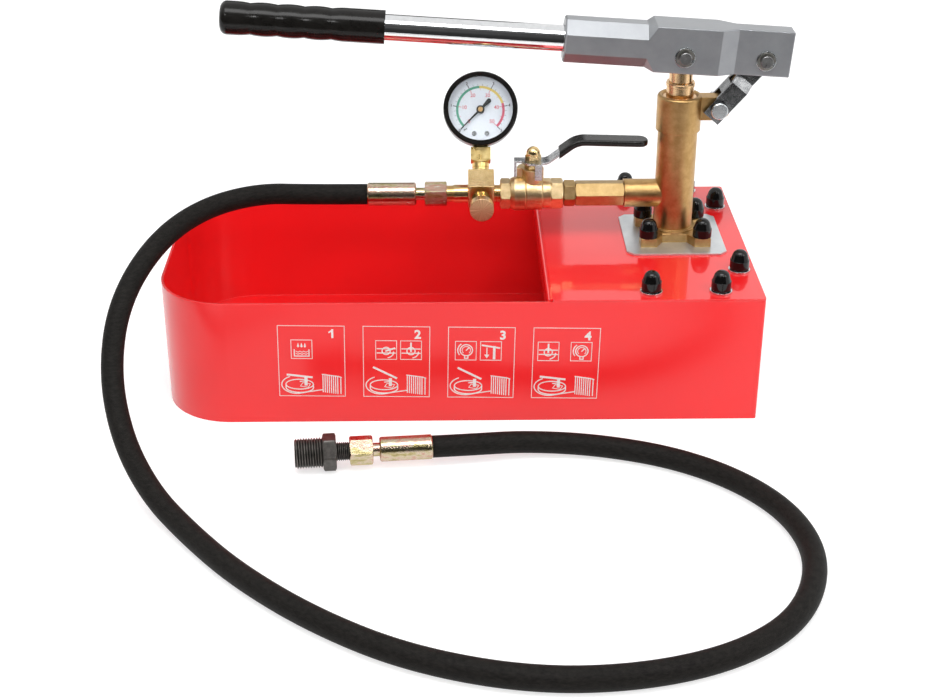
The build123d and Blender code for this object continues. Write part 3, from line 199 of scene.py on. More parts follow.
hose_wrap, tree, shader = new_finish("wrapped hose rubber", (0.008, 0.007, 0.006), 0, 0.6)
shader.inputs["Specular IOR Level"].default_value = 0.12
shader.inputs["Sheen Weight"].default_value = 0.01
shader.inputs["Sheen Roughness"].default_value = 0.5
unwrap = add_node(tree, "ShaderNodeUVMap")
stretch = add_node(tree, "ShaderNodeMapping")
stretch.inputs["Scale"].default_value = (threads_round, threads_per_metre, 1)
join(tree, unwrap.outputs["UV"], stretch.inputs["Vector"])
weave = add_node(tree, "ShaderNodeTexChecker", Scale=1.0)
join(tree, stretch.outputs["Vector"], weave.inputs["Vector"])
laps = add_node(tree, "ShaderNodeTexWave", Scale=1.0, Distortion=0.6, Detail=1.0)
lap_turn = add_node(tree, "ShaderNodeMapping")
lap_turn.inputs["Scale"].default_value = (laps_round, laps_along, 1)
join(tree, unwrap.outputs["UV"], lap_turn.inputs["Vector"])
laps.bands_direction = "DIAGONAL"
laps.wave_profile = "SAW"
join(tree, lap_turn.outputs["Vector"], laps.inputs["Vector"])
mottle = add_node(tree, "ShaderNodeTexNoise", Scale=120.0, Detail=8.0, Roughness=0.7)
two_tone(
    tree, shader, mottle.outputs["Fac"], 0.35, (0.004, 0.0035, 0.003), 0.75, (0.017, 0.015, 0.013))
cloth = add_node(tree, "ShaderNodeBump", Strength=0.4, Distance=0.0002)
lap_step = add_node(tree, "ShaderNodeBump", Strength=0.3, Distance=0.0007)
join(tree, weave.outputs["Fac"], cloth.inputs["Height"])
join(tree, laps.outputs["Fac"], lap_step.inputs["Height"])
join(tree, lap_step.outputs["Normal"], cloth.inputs["Normal"])
join(tree, cloth.outputs["Normal"], shader.inputs["Normal"])
hose_line = smooth_line("hose line", hose_route)
hose_mesh, hose_length = tube_mesh("hose", hose_line, hose_radius, hose_sides)
hose = add_piece("hose_tube", hose_mesh, hose_wrap, "pump")
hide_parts("hose")


# Steel adapter at the free end. Black oxide steel, a hexagon between a half
# inch pipe thread that goes to the system and a small one in the hose nut.
sharp_edge = math.radians(28)
adapter_start = 0.0493
hexagon_start = 0.0662
hexagon_end = 0.0754
adapter_end = 0.0946
adapter_bore = 0.0045
adapter_bevel = 0.0012
adapter_sides = 96
hexagon_across = 0.023
hexagon_turn = math.radians(6)
half_inch_radius = 0.010478
half_inch_pitch = 0.001814
half_inch_depth = 0.0012
half_inch_lead = 0.0016
quarter_inch_radius = 0.00655
quarter_inch_pitch = 0.001337
quarter_inch_depth = 0.0009
steps_per_turn = 10
crest_shade = 1.0
flat_shade = 0.5
root_shade = 0.05


def turned_mesh(name, place, stations, sides):
    """Closed turned mesh; each station is a distance along its axis and a radius for an angle."""
    mesh = bpy.data.meshes.new(name)
    shell = bmesh.new()
    rings = []
    for along, radius in stations:
        ring = []
        for step in range(sides):
            angle = 2 * math.pi * step / sides
            reach = radius(angle)
            corner = Vector((reach * math.cos(angle), reach * math.sin(angle), along))
            ring.append(shell.verts.new(place @ corner))
        rings.append(ring)
    for near, far in zip(rings, rings[1:]):
        for step in range(sides):
            after = (step + 1) % sides
            shell.faces.new((near[step], near[after], far[after], far[step])).smooth = True
    for ring in (rings[0], rings[-1]):
        shell.faces.new(ring)
    bmesh.ops.recalc_face_normals(shell, faces=shell.faces)
    for seam in shell.edges:
        seam.smooth = seam.calc_face_angle(0) < sharp_edge
    shell.to_mesh(mesh)
    shell.free()
    return mesh


def plain(radius):
    """Radius rule of a round stretch."""
    return lambda angle: radius


def flats(across, cone):
    """Radius rule of a hexagon that a cone of the given radius cuts down."""
    sixth = math.radians(60)
    start = sixth / 2 - hexagon_turn
    return lambda angle: min(across / 2 / math.cos((angle + start) % sixth - sixth / 2), cone)


def hexagon_stations(across, start, end):
    """Stations of a hexagon with its corners turned off at 30 degrees."""
    relief = (across / math.sqrt(3) - across / 2) * math.tan(math.radians(30))
    steps = [relief * share for share in (0, 0.12, 0.3, 0.55, 0.8, 1)]
    cones = [across / 2 + step / math.tan(math.radians(30)) for step in steps]
    rising = [(start + step, flats(across, cone)) for step, cone in zip(steps, cones)]
    falling = [(end - step, flats(across, cone)) for step, cone in zip(steps, cones)]
    return rising + falling[::-1]


def thread_stations(start, end, crest, pitch, depth, lead):
    """Stations of a helical thread, whose first turn from the end is turned down."""
    count = round((end - start) / pitch * steps_per_turn)
    stations = []
    for index in range(count + 1):
        along = start + (end - start) * index / count
        limit = crest - max(0, lead - (end - along)) * 0.8

        def radius(angle, along=along, limit=limit):
            wave = 0.5 - 0.5 * math.cos(2 * math.pi * along / pitch - angle)
            return min(crest - depth * wave, limit)

        stations.append((along, radius))
    return stations


adapter_turn = math.radians(185.06)
adapter_place = (
    Matrix.Translation(hose_route[-1])
    @ Matrix.Rotation(adapter_turn, 4, "Z")
    @ Matrix.Rotation(math.radians(90), 4, "Y")
)
adapter_stations = [(adapter_start, plain(adapter_bore))]
adapter_stations += thread_stations(
    adapter_start, hexagon_start, quarter_inch_radius, quarter_inch_pitch, quarter_inch_depth, 0)
adapter_stations += hexagon_stations(hexagon_across, hexagon_start, hexagon_end)
adapter_stations += thread_stations(
    hexagon_end, adapter_end, half_inch_radius, half_inch_pitch, half_inch_depth, half_inch_lead)
adapter_stations += [
    (adapter_end, plain(adapter_bore + adapter_bevel)),
    (adapter_end - adapter_bevel, plain(adapter_bore)),
    (adapter_start + adapter_bevel, plain(adapter_bore)),
]


def soften(tree, shader, radius, normal=None):
    """Make sharp edges catch the light as slightly rounded ones do."""
    edge = add_node(tree, "ShaderNodeBevel", Radius=radius)
    edge.samples = 6
    if normal:
        join(tree, edge.outputs["Normal"], normal.inputs["Normal"])
        join(tree, normal.outputs["Normal"], shader.inputs["Normal"])
    else:
        join(tree, edge.outputs["Normal"], shader.inputs["Normal"])


def grain(tree, shader, scale, dark, light, rough_low, rough_high, depth, edge, stretch=(1, 1, 1)):
    """Blotchy tone, uneven gloss and a fine relief, all from one grain."""
    place = add_node(tree, "ShaderNodeTexCoord")
    draw = add_node(tree, "ShaderNodeMapping", Scale=stretch)
    join(tree, place.outputs["Object"], draw.inputs["Vector"])
    blotch = add_node(tree, "ShaderNodeTexNoise", Scale=scale, Detail=8.0, Roughness=0.65)
    join(tree, draw.outputs["Vector"], blotch.inputs["Vector"])
    stops = two_tone(tree, shader, blotch.outputs["Fac"], 0.3, dark, 0.7, light)
    gloss = add_node(tree, "ShaderNodeMapRange", To_Min=rough_low, To_Max=rough_high)
    join(tree, blotch.outputs["Fac"], gloss.inputs["Value"])
    join(tree, gloss.outputs["Result"], shader.inputs["Roughness"])
    fine = add_node(tree, "ShaderNodeTexNoise", Scale=scale * 9, Detail=5.0, Roughness=0.6)
    join(tree, draw.outputs["Vector"], fine.inputs["Vector"])
    relief = add_node(tree, "ShaderNodeBump", Strength=0.5, Distance=depth)
    join(tree, fine.outputs["Fac"], relief.inputs["Height"])
    soften(tree, shader, edge, relief)
    return stops


def wear(tree, shader, place, marks):
    """Colour a turned piece by the distance from its axis, in steps from the axis outwards: painted shade
    in the bore and the thread roots, and crests rubbed bright.
    """
    to_axis = place.inverted()
    spot = add_node(tree, "ShaderNodeTexCoord")
    turned = add_node(
        tree, "ShaderNodeMapping", Location=to_axis.translation, Rotation=to_axis.to_euler())
    join(tree, spot.outputs["Object"], turned.inputs["Vector"])
    across = add_node(tree, "ShaderNodeVectorMath")
    across.operation = "MULTIPLY"
    across.inputs[1].default_value = (1, 1, 0)
    join(tree, turned.outputs["Vector"], across.inputs[0])
    reach = add_node(tree, "ShaderNodeVectorMath")
    reach.operation = "LENGTH"
    join(tree, across.outputs["Vector"], reach.inputs[0])
    widest = marks[-1][0]
    share = add_node(tree, "ShaderNodeMapRange", From_Max=widest)
    join(tree, reach.outputs["Value"], share.inputs["Value"])
    rub_and_shade = add_node(tree, "ShaderNodeValToRGB")
    join(tree, share.outputs["Result"], rub_and_shade.inputs["Fac"])
    stops = rub_and_shade.color_ramp.elements
    stops[0].color = (marks[0][1],) * 3 + (1,)
    stops[1].color = (marks[-1][1],) * 3 + (1,)
    for radius, shade in marks[1:-1]:
        stops.new(radius / widest).color = (shade, shade, shade, 1)
    tint = add_node(tree, "ShaderNodeMix")
    tint.data_type = "RGBA"
    tint.blend_type = "MULTIPLY"
    amount, base, layer = (tint.inputs[index] for index in (0, 6, 7))
    amount.default_value = 1.0
    join(tree, shader.inputs["Base Color"].links[0].from_socket, base)
    join(tree, rub_and_shade.outputs["Color"], layer)
    join(tree, tint.outputs[2], shader.inputs["Base Color"])


black_oxide, tree, shader = new_finish("black oxide steel", (0.03, 0.03, 0.032), 0.7, 0.35)
grain(tree, shader, 220, (0.080, 0.072, 0.066), (0.230, 0.212, 0.196), 0.26, 0.42, 0.00006, 0.0004)
# Painted shade: the bore and the thread roots go nearly black, the crests are rubbed bright and the hexagon
# stays at half.
wear(tree, shader, adapter_place, (
    (0, root_shade),
    (quarter_inch_radius - 0.0008, root_shade),
    (quarter_inch_radius, crest_shade),
    (quarter_inch_radius + 0.0010, flat_shade),
    (half_inch_radius - 0.0014, flat_shade),
    (half_inch_radius - 0.0010, root_shade),
    (half_inch_radius - 0.0001, crest_shade),
    (half_inch_radius + 0.0006, flat_shade),
    (0.0135, flat_shade),
))
adapter_mesh = turned_mesh("adapter", adapter_place, adapter_stations, adapter_sides)
adapter = add_piece("threaded_adapter", adapter_mesh, black_oxide, "pump")
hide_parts("thread_adapter")


# Ferrules and nuts of the hose. Turned steel, plated with zinc and dipped in
# a yellow passivate, so they are mostly silver with an olive and pink cast.
def dress(names, material):
    """Give modelled parts their finish."""
    for name in names:
        part = frame["nodes"][name]
        part.data.materials.clear()
        part.data.materials.append(material)


yellow_zinc, tree, shader = new_finish("yellow zinc", (0.6, 0.54, 0.38), 1, 0.25)
stops = grain(
    tree, shader, 210, (0.24, 0.19, 0.09), (0.66, 0.62, 0.52), 0.14, 0.34, 0.00014, 0.0006, (0.35, 1, 1))
for spot, colour in ((0.42, (0.42, 0.36, 0.17)), (0.5, (0.56, 0.47, 0.36)), (0.57, (0.50, 0.30, 0.22))):
    stops.new(spot).color = (*colour, 1)
dress(["upper_ferrule", "upper_hose_nut", "lower_ferrule", "lower_hose_nut"], yellow_zinc)


# Tank. Folded and welded sheet steel under a gloss red powder coat. The coat
# has an orange peel that blurs what it mirrors.
def red_coat(name, gloss, peel_depth):
    """Red powder coat of one gloss."""
    material, tree, shader = new_finish(name, (0.86, 0.010, 0.013), 0, 0.4)
    shader.inputs["Coat Weight"].default_value = 1.0
    shader.inputs["Coat Roughness"].default_value = gloss
    shader.inputs["Specular IOR Level"].default_value = 0.2
    place = add_node(tree, "ShaderNodeTexCoord")
    drift = add_node(tree, "ShaderNodeTexNoise", Scale=7.0, Detail=3.0)
    join(tree, place.outputs["Object"], drift.inputs["Vector"])
    two_tone(tree, shader, drift.outputs["Fac"], 0.3, (0.82, 0.008, 0.011), 0.7, (0.89, 0.012, 0.015))
    peel = add_node(tree, "ShaderNodeTexNoise", Scale=330.0, Detail=2.0)
    wave = add_node(tree, "ShaderNodeTexNoise", Scale=9.0, Detail=1.0)
    join(tree, place.outputs["Object"], peel.inputs["Vector"])
    join(tree, place.outputs["Object"], wave.inputs["Vector"])
    peel_relief = add_node(tree, "ShaderNodeBump", Strength=0.05, Distance=peel_depth)
    wave_relief = add_node(tree, "ShaderNodeBump", Strength=0.12, Distance=0.002)
    join(tree, peel.outputs["Fac"], peel_relief.inputs["Height"])
    join(tree, wave.outputs["Fac"], wave_relief.inputs["Height"])
    edge = add_node(tree, "ShaderNodeBevel", Radius=0.0008)
    join(tree, edge.outputs["Normal"], wave_relief.inputs["Normal"])
    join(tree, wave_relief.outputs["Normal"], peel_relief.inputs["Normal"])
    join(tree, peel_relief.outputs["Normal"], shader.inputs["Normal"])
    join(tree, peel_relief.outputs["Normal"], shader.inputs["Coat Normal"])
    return material


tank_red = red_coat("tank red", 0.24, 0.0004)
dress(["tank_shell"], tank_red)


# Printed steps. Four framed drawings, screen printed in white on the tank's
# front: fill the tank, open the valve, pump, and read the gauge.
ink_depth = 0.00005


def plate(shell, place, outline, bottom, top):
    """Flat piece of an outline, between two heights over the face it lies on."""
    low = [shell.verts.new(place @ Vector((x, y, bottom))) for x, y in outline]
    high = [shell.verts.new(place @ Vector((x, y, top))) for x, y in outline]
    shell.faces.new(low[::-1])
    shell.faces.new(high)
    for index, corner in enumerate(low):
        after = (index + 1) % len(low)
        shell.faces.new((corner, low[after], high[after], high[index]))


def stroke(shell, place, points, width, top=ink_depth, closed=False):
    """Line of one width through points, mitred; each lies a hair higher than the one before."""
    top += 2e-8 * len(shell.verts)
    spots = [Vector(point) for point in points]
    runs = [(end - start).normalized() for start, end in zip(spots, spots[1:] + spots[:1])]
    if not closed:
        runs[-1] = runs[-2] if len(runs) > 1 else runs[0]
    rails = []
    for index, spot in enumerate(spots):
        into = runs[index - 1] if index or closed else runs[0]
        out = runs[index]
        if not closed and index in (0, len(spots) - 1):
            spot = spot + into * width / 2 * (1 if index else -1)
        side = Vector((-into.y - out.y, into.x + out.x)).normalized()
        reach = width / 2 / max(0.5, side.dot(Vector((-out.y, out.x))))
        rails.append([
            shell.verts.new(place @ Vector((*(spot + side * reach * hand), height)))
            for hand, height in ((1, 0), (-1, 0), (-1, top), (1, top))
        ])
    for index in range(len(spots) if closed else len(spots) - 1):
        near, far = rails[index], rails[(index + 1) % len(rails)]
        for corner in range(4):
            after = (corner + 1) % 4
            shell.faces.new((near[corner], far[corner], far[after], near[after]))
    if not closed:
        shell.faces.new(rails[0])
        shell.faces.new(rails[-1][::-1])


def arc(centre, radius_x, radius_y, start, end, steps):
    """Points along part of an ellipse, angles in degrees."""
    points = []
    for step in range(steps + 1):
        angle = math.radians(start + (end - start) * step / steps)
        points.append((centre[0] + radius_x * math.cos(angle), centre[1] + radius_y * math.sin(angle)))
    return points


def numeral(shell, place, words, size, centre, top, weight):
    """Printed number."""
    letters = bpy.data.curves.new("numeral", "FONT")
    letters.body = words
    letters.size = size
    letters.align_x = "CENTER"
    letters.align_y = "CENTER"
    letters.extrude = top / 2
    letters.offset = weight
    holder = bpy.data.objects.new("numeral", letters)
    solid = bpy.data.meshes.new_from_object(holder)
    solid.transform(place @ Matrix.Translation((*centre, top / 2)))
    shell.from_mesh(solid)
    bpy.data.objects.remove(holder)
    bpy.data.meshes.remove(solid)


def close_shell(name, shell):
    """Turn a finished shell into a mesh."""
    bmesh.ops.recalc_face_normals(shell, faces=shell.faces)
    mesh = bpy.data.meshes.new(name)
    shell.to_mesh(mesh)
    shell.free()
    return mesh


fine_line = 0.00045
bold_line = 0.00075
panel_width = 0.0470
panel_height = 0.0562
panel_pitch = 0.0602
step_count = 4
step_number_size = 0.0094
step_number_weight = 0.0003
first_panel_left = -0.1292
panel_bottom = 0.0217
print_tilt = math.radians(-1.0)
front_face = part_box("tank_shell")[0][1]
print_place = (
    Matrix.Translation((first_panel_left, front_face, panel_bottom))
    @ Matrix.Rotation(math.radians(90), 4, "X")
    @ Matrix.Rotation(print_tilt, 4, "Z")
)


def draw_frame(shell, place, step):
    """Border of one step and its number; the 1 also gets a flag."""
    corners = [(0, 0), (panel_width, 0), (panel_width, panel_height), (0, panel_height)]
    stroke(shell, place, corners, fine_line, closed=True)
    middle = (panel_width - 0.0085, panel_height - 0.0064)
    numeral(shell, place, str(step), step_number_size, middle, ink_depth, step_number_weight)
    if step == 1:
        flag = [(middle[0] - 0.0022, middle[1] + 0.0014), (middle[0] - 0.0004, middle[1] + 0.0028)]
        stroke(shell, place, flag, bold_line * 1.4)


def draw_pump(shell, place, lifted):
    """Oval tank with its deck, pump and handle, and the hose that leaves it."""
    stroke(shell, place, arc((0.0145, 0.0095), 0.0098, 0.0040, 0, 347, 27), bold_line, closed=True)
    stroke(shell, place, arc((0.0145, 0.0068), 0.0098, 0.0040, 180, 360, 16), bold_line)
    for side in (0.0047, 0.0243):
        stroke(shell, place, [(side, 0.0068), (side, 0.0095)], bold_line)
    deck = [(0.0150, 0.0080), (0.0205, 0.0070), (0.0222, 0.0098), (0.0168, 0.0108)]
    stroke(shell, place, deck, fine_line, closed=True)
    column = [(0.0180, 0.0085), (0.0202, 0.0085), (0.0202, 0.0150), (0.0180, 0.0150)]
    plate(shell, place, column, 0, ink_depth * 1.5)
    tip = (0.0075, 0.0235) if lifted else (0.0062, 0.0172)
    stroke(shell, place, [(0.0232, 0.0152), tip], bold_line * 2)
    stroke(shell, place, [(0.0150, 0.0118), (0.0192, 0.0122)], bold_line)
    loop = arc((0.0125, 0.0092), 0.0108, 0.0072, 118, 290, 18)
    stroke(shell, place, loop + [(0.0240, 0.0040), (0.0310, 0.0052)], bold_line)


def draw_radiator(shell, place):
    """Ribbed block that the hose runs to."""
    rib_count = 8
    rib_pitch = 0.0015
    for rib in range(rib_count):
        x = 0.0312 + rib * rib_pitch
        drop = rib * 0.0002
        stroke(shell, place, [(x, 0.0035 - drop), (x, 0.0172 - drop)], fine_line * 1.5)
    last = 0.0312 + (rib_count - 1) * rib_pitch
    stroke(shell, place, [(0.0308, 0.0176), (last + 0.0004, 0.0160)], bold_line)
    stroke(shell, place, [(last + 0.0004, 0.0160), (last + 0.0026, 0.0152)], bold_line)
    stroke(shell, place, [(last + 0.0022, 0.0152), (last + 0.0022, 0.0022)], bold_line)


def draw_box(shell, place, left):
    """Square border of a small picture; gives back its lower left corner."""
    low = 0.0302
    side = 0.0148
    corners = [(left, low), (left + side, low), (left + side, low + side), (left, low + side)]
    stroke(shell, place, corners, fine_line, closed=True)
    return left, low


def draw_water(shell, place, left):
    """Drops that fall into a filled tank."""
    x, y = draw_box(shell, place, left)
    stroke(shell, place, [(x + 0.0022, y + 0.0070), (x + 0.0022, y + 0.0020), (x + 0.0126, y + 0.0020),
                          (x + 0.0126, y + 0.0070)], bold_line)
    for level in (0.0038, 0.0055):
        wave = [(x + 0.0034 + 0.0014 * step, y + level + 0.0004 * (-1) ** step) for step in range(7)]
        stroke(shell, place, wave, fine_line)
    for drop in (0.0050, 0.0074, 0.0098):
        point = [(x + drop, y + 0.0126)] + arc((x + drop, y + 0.0098), 0.0008, 0.0008, -200, 20, 8)
        plate(shell, place, point[::-1], 0, ink_depth)


def draw_valve(shell, place, left, shut):
    """Ball valve with its lever along or across the pipe."""
    x, y = draw_box(shell, place, left)
    for level in (0.0050, 0.0084):
        stroke(shell, place, [(x + 0.0010, y + level), (x + 0.0138, y + level)], bold_line)
    body = arc((x + 0.0074, y + 0.0067), 0.0029, 0.0029, 0, 342, 19)
    stroke(shell, place, body, bold_line, closed=True)
    turn = math.radians(90 if shut else 20)
    tip = (x + 0.0074 + 0.0062 * math.cos(turn), y + 0.0067 + 0.0062 * math.sin(turn))
    stroke(shell, place, [(x + 0.0074, y + 0.0067), tip], bold_line * 1.6)
    stroke(shell, place, arc((x + 0.0074, y + 0.0067), 0.0056, 0.0056, -75, -20, 8), bold_line)
    head = arc((x + 0.0126, y + 0.0052), 0.0013, 0.0013, 90, 330, 2)
    plate(shell, place, head, 0, ink_depth)


def draw_gauge(shell, place, left):
    """Dial with a pointer and an arrow round it."""
    x, y = draw_box(shell, place, left)
    centre = (x + 0.0078, y + 0.0078)
    stroke(shell, place, arc(centre, 0.0044, 0.0044, 0, 346, 25), bold_line, closed=True)
    stroke(shell, place, arc(centre, 0.0030, 0.0030, -45, 225, 16), fine_line)
    stroke(shell, place, [centre, (x + 0.0098, y + 0.0100)], bold_line)
    stroke(shell, place, arc(centre, 0.0061, 0.0061, 130, 215, 10), bold_line)
    stroke(shell, place, [(x + 0.0066, y + 0.0034), (x + 0.0066, y + 0.0014), (x + 0.0090, y + 0.0014),
                          (x + 0.0090, y + 0.0034)], bold_line)


def draw_lever(shell, place, left):
    """Pump handle with an arrow for the stroke."""
    x, y = draw_box(shell, place, left)
    stroke(shell, place, [(x + 0.0014, y + 0.0118), (x + 0.0134, y + 0.0098)], bold_line * 1.6)
    stroke(shell, place, [(x + 0.0098, y + 0.0104), (x + 0.0098, y + 0.0016)], bold_line * 2.4)
    stroke(shell, place, [(x + 0.0046, y + 0.0096), (x + 0.0046, y + 0.0040)], bold_line)
    head = [(x + 0.0028, y + 0.0044), (x + 0.0046, y + 0.0014), (x + 0.0064, y + 0.0044)]
    plate(shell, place, head, 0, ink_depth * 1.5)


shell = bmesh.new()
for step in range(1, step_count + 1):
    panel = print_place @ Matrix.Translation(((step - 1) * panel_pitch, 0, 0))
    draw_frame(shell, panel, step)
    draw_pump(shell, panel, step in (2, 3))
    draw_radiator(shell, panel)
    if step == 1:
        draw_water(shell, panel, 0.0092)
    elif step == 2:
        draw_valve(shell, panel, 0.0088, False)
        draw_valve(shell, panel, 0.0264, True)
    elif step == 3:
        draw_gauge(shell, panel, 0.0050)
        draw_lever(shell, panel, 0.0228)
    else:
        draw_valve(shell, panel, 0.0034, True)
        draw_gauge(shell, panel, 0.0268)
white_ink, tree, shader = new_finish("white screen ink", (0.80, 0.78, 0.76), 0, 0.5)
grain(tree, shader, 900, (0.70, 0.62, 0.60), (0.86, 0.83, 0.81), 0.4, 0.6, 0.00001, 0.0001)
add_piece("front_print", close_shell("front print", shell), white_ink, "pump")

# Deck. A sheet of the same steel and colour over the pump end, smoother than
# the tank, so it mirrors the caps and the pipe line sharply.
deck_red = red_coat("deck red", 0.05, 0.0002)
dress(["deck_plate"], deck_red)

# Screws, nuts, washers and the plate under the pump. Mild steel in bright
# zinc, grey with a slight blue cast and a soft spangle.
bright_zinc, tree, shader = new_finish("bright zinc", (0.62, 0.64, 0.66), 1, 0.28)
grain(tree, shader, 70, (0.56, 0.59, 0.61), (0.76, 0.78, 0.79), 0.16, 0.3, 0.00003, 0.0004)
dress([
    "deck_bolts", "deck_nuts", "deck_washers", "flange_bolts", "flange_nuts",
    "link_bolt", "link_nut", "pin_washers",
], bright_zinc)
plate_zinc, tree, shader = new_finish("rolled plate zinc", (0.7, 0.72, 0.73), 0.85, 0.36)
grain(tree, shader, 40, (0.62, 0.65, 0.67), (0.78, 0.80, 0.81), 0.32, 0.42, 0.00002, 0.0004)
dress(["base_plate"], plate_zinc)

# Caps. Glossy black rubber domes, pushed over the nuts and screw ends of the
# deck and the pump's flange, where they keep the threads from rusting.
cap_rubber, tree, shader = new_finish("cap rubber", (0.006, 0.0055, 0.005), 0, 0.16)
shader.inputs["Specular IOR Level"].default_value = 0.36
grain(tree, shader, 300, (0.002, 0.002, 0.002), (0.005, 0.0045, 0.0045), 0.05, 0.12, 0.00001, 0.0003)
dress(["deck_caps", "flange_caps"], cap_rubber)

# Pump casting. Hot-pressed brass, tumbled, so it is a dull brown gold with a
# fine sandy skin.
cast_brass, tree, shader = new_finish("pressed brass", (0.5, 0.33, 0.15), 1, 0.4)
grain(tree, shader, 140, (0.42, 0.25, 0.09), (0.60, 0.39, 0.17), 0.3, 0.46, 0.0003, 0.001)
dress(["pump_cylinder"], cast_brass)

# Ball valve, check valve and nipple. Pressed and turned brass with sandy tan
# faces and darker seams where they screw together.
pale_brass, tree, shader = new_finish("pale pressed brass", (0.7, 0.52, 0.28), 1, 0.36)
grain(tree, shader, 160, (0.60, 0.42, 0.20), (0.86, 0.66, 0.38), 0.28, 0.42, 0.0002, 0.0008)
dress(["valve_body", "valve_end"], pale_brass)
hex_brass, tree, shader = new_finish("drawn hexagon brass", (0.6, 0.42, 0.2), 1, 0.4)
grain(tree, shader, 150, (0.38, 0.25, 0.10), (0.54, 0.38, 0.18), 0.38, 0.5, 0.00015, 0.0006)
dress(["outlet_valve_body", "hex_nipple"], hex_brass)

# Gland nut and plunger. Redder turned brass; the plunger is polished along
# its length by the packing.
plunger_brass, tree, shader = new_finish("polished plunger brass", (0.7, 0.45, 0.22), 1, 0.16)
grain(tree, shader, 260, (0.62, 0.38, 0.17), (0.90, 0.64, 0.38), 0.16, 0.3, 0.00006, 0.0004, (1, 1, 0.04))
dress(["plunger", "gland_nut", "inlet_seat"], plunger_brass)

# Tee block, adapters, sockets and small nuts. Bar brass, bright from the
# lathe and the mill, with fine tool marks.
bar_brass, tree, shader = new_finish("bright bar brass", (0.8, 0.6, 0.32), 1, 0.2)
grain(tree, shader, 90, (0.68, 0.48, 0.21), (0.86, 0.66, 0.36), 0.14, 0.3, 0.00008, 0.0004)
dress([
    "valve_stem", "stem_packing_nut", "lever_nut", "manifold_nipple", "manifold_block",
    "outlet_adapter", "bleed_nut", "gauge_movement", "bourdon_tube",
], bar_brass)
gold_brass, tree, shader = new_finish("golden socket brass", (0.9, 0.66, 0.26), 1, 0.28)
grain(tree, shader, 260, (0.74, 0.50, 0.16), (1.0, 0.78, 0.36), 0.22, 0.36, 0.00008, 0.0004)
dress(["gauge_socket"], gold_brass)

pipe_axis_y = 0.0070
pipe_axis_z = 0.1309
pipe_place = Matrix.Translation((0, pipe_axis_y, pipe_axis_z)) @ Matrix.Rotation(math.radians(90), 4, "Y")
tee_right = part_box("manifold_block")[1][0]
valve_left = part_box("valve_end")[0][0]
hose_nut_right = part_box("upper_hose_nut")[1][0]
adapter_thread_shows = 0.0052
tee_thread_radius = 0.0067
adapter_thread_radius = 0.0065
pipe_thread_depth = 0.0008
pipe_thread_sides = 64
for name, start, end, crest in (
    ("tee_thread", tee_right, valve_left, tee_thread_radius),
    ("adapter_thread", hose_nut_right, hose_nut_right + adapter_thread_shows, adapter_thread_radius),
):
    stations = thread_stations(start, end, crest, quarter_inch_pitch, pipe_thread_depth, 0)
    mesh = turned_mesh(name, pipe_place, stations, pipe_thread_sides)
    add_piece(name, mesh, bar_brass, "pump")

# Bleed knob. Bar brass whose face was turned and then brushed outwards, so
# fine rays run from its middle to a bright rim.
knob_brass, tree, shader = new_finish("brushed knob brass", (0.6, 0.4, 0.22), 1, 0.3)
knob_points = [corner.co for corner in frame["nodes"]["bleed_screw"].data.vertices]
knob_middle = [
    (min(point[axis] for point in knob_points) + max(point[axis] for point in knob_points)) / 2
    for axis in range(3)
]
place = add_node(tree, "ShaderNodeTexCoord")
centre = add_node(tree, "ShaderNodeMapping")
centre.vector_type = "TEXTURE"
centre.inputs["Location"].default_value = knob_middle
centre.inputs["Rotation"].default_value = (math.radians(90), 0, 0)
join(tree, place.outputs["Object"], centre.inputs["Vector"])
around = add_node(tree, "ShaderNodeTexGradient")
around.gradient_type = "RADIAL"
join(tree, centre.outputs["Vector"], around.inputs["Vector"])
rays = add_node(tree, "ShaderNodeTexNoise", Scale=90.0, Detail=5.0)
rays.noise_dimensions = "1D"
join(tree, around.outputs["Fac"], rays.inputs["W"])
two_tone(tree, shader, rays.outputs["Fac"], 0.38, (0.46, 0.27, 0.13), 0.62, (0.88, 0.62, 0.36))
relief = add_node(tree, "ShaderNodeBump", Strength=0.4, Distance=0.0001)
join(tree, rays.outputs["Fac"], relief.inputs["Height"])
soften(tree, shader, 0.0005, relief)
dress(["bleed_screw"], knob_brass)

# Valve lever. Sheet steel in brushed zinc, bent up from the stem, with a
# dipped black sleeve on its grip.
lever_zinc, tree, shader = new_finish("brushed lever zinc", (0.6, 0.61, 0.62), 1, 0.3)
grain(tree, shader, 260, (0.44, 0.45, 0.46), (0.70, 0.71, 0.72), 0.2, 0.34, 0.00005, 0.0004, (0.15, 1, 1))
dress(["valve_lever"], lever_zinc)
sleeve_black, tree, shader = new_finish("lever sleeve vinyl", (0.012, 0.011, 0.010), 0, 0.3)
shader.inputs["Specular IOR Level"].default_value = 0.34
grain(tree, shader, 200, (0.006, 0.0056, 0.005), (0.012, 0.011, 0.010), 0.2, 0.32, 0.00003, 0.0005)
dress(["lever_sleeve"], sleeve_black)

# Link strap. Two legs and a web bent from one steel sheet, in bright zinc
# coloured a dark blue grey as a painted reflection of the unlit room it faces.
darkened_zinc, tree, shader = new_finish("darkened link zinc", (0.4, 0.41, 0.42), 1, 0.25)
grain(tree, shader, 130, (0.17, 0.175, 0.18), (0.40, 0.405, 0.41), 0.12, 0.24, 0.00005, 0.0004)
dress(["link_strap"], darkened_zinc)

# Handle head. One aluminium casting that holds the tube and both pins,
# sprayed with a silver grey lacquer.
grey_lacquer, tree, shader = new_finish("silver grey lacquer", (0.30, 0.31, 0.33), 0.5, 0.3)
grain(tree, shader, 60, (0.26, 0.27, 0.285), (0.31, 0.32, 0.335), 0.26, 0.34, 0.00002, 0.0006)
dress(["handle_head"], grey_lacquer)

# Handle tube, gauge case and valve ball. Drawn or turned metal with a mirror
# coat of chrome.
chrome, tree, shader = new_finish("chrome plate", (0.78, 0.79, 0.80), 1, 0.06)
grain(tree, shader, 200, (0.70, 0.71, 0.72), (0.80, 0.81, 0.82), 0.03, 0.1, 0.00001, 0.0004)
dress(["handle_tube", "gauge_case", "valve_ball"], chrome)

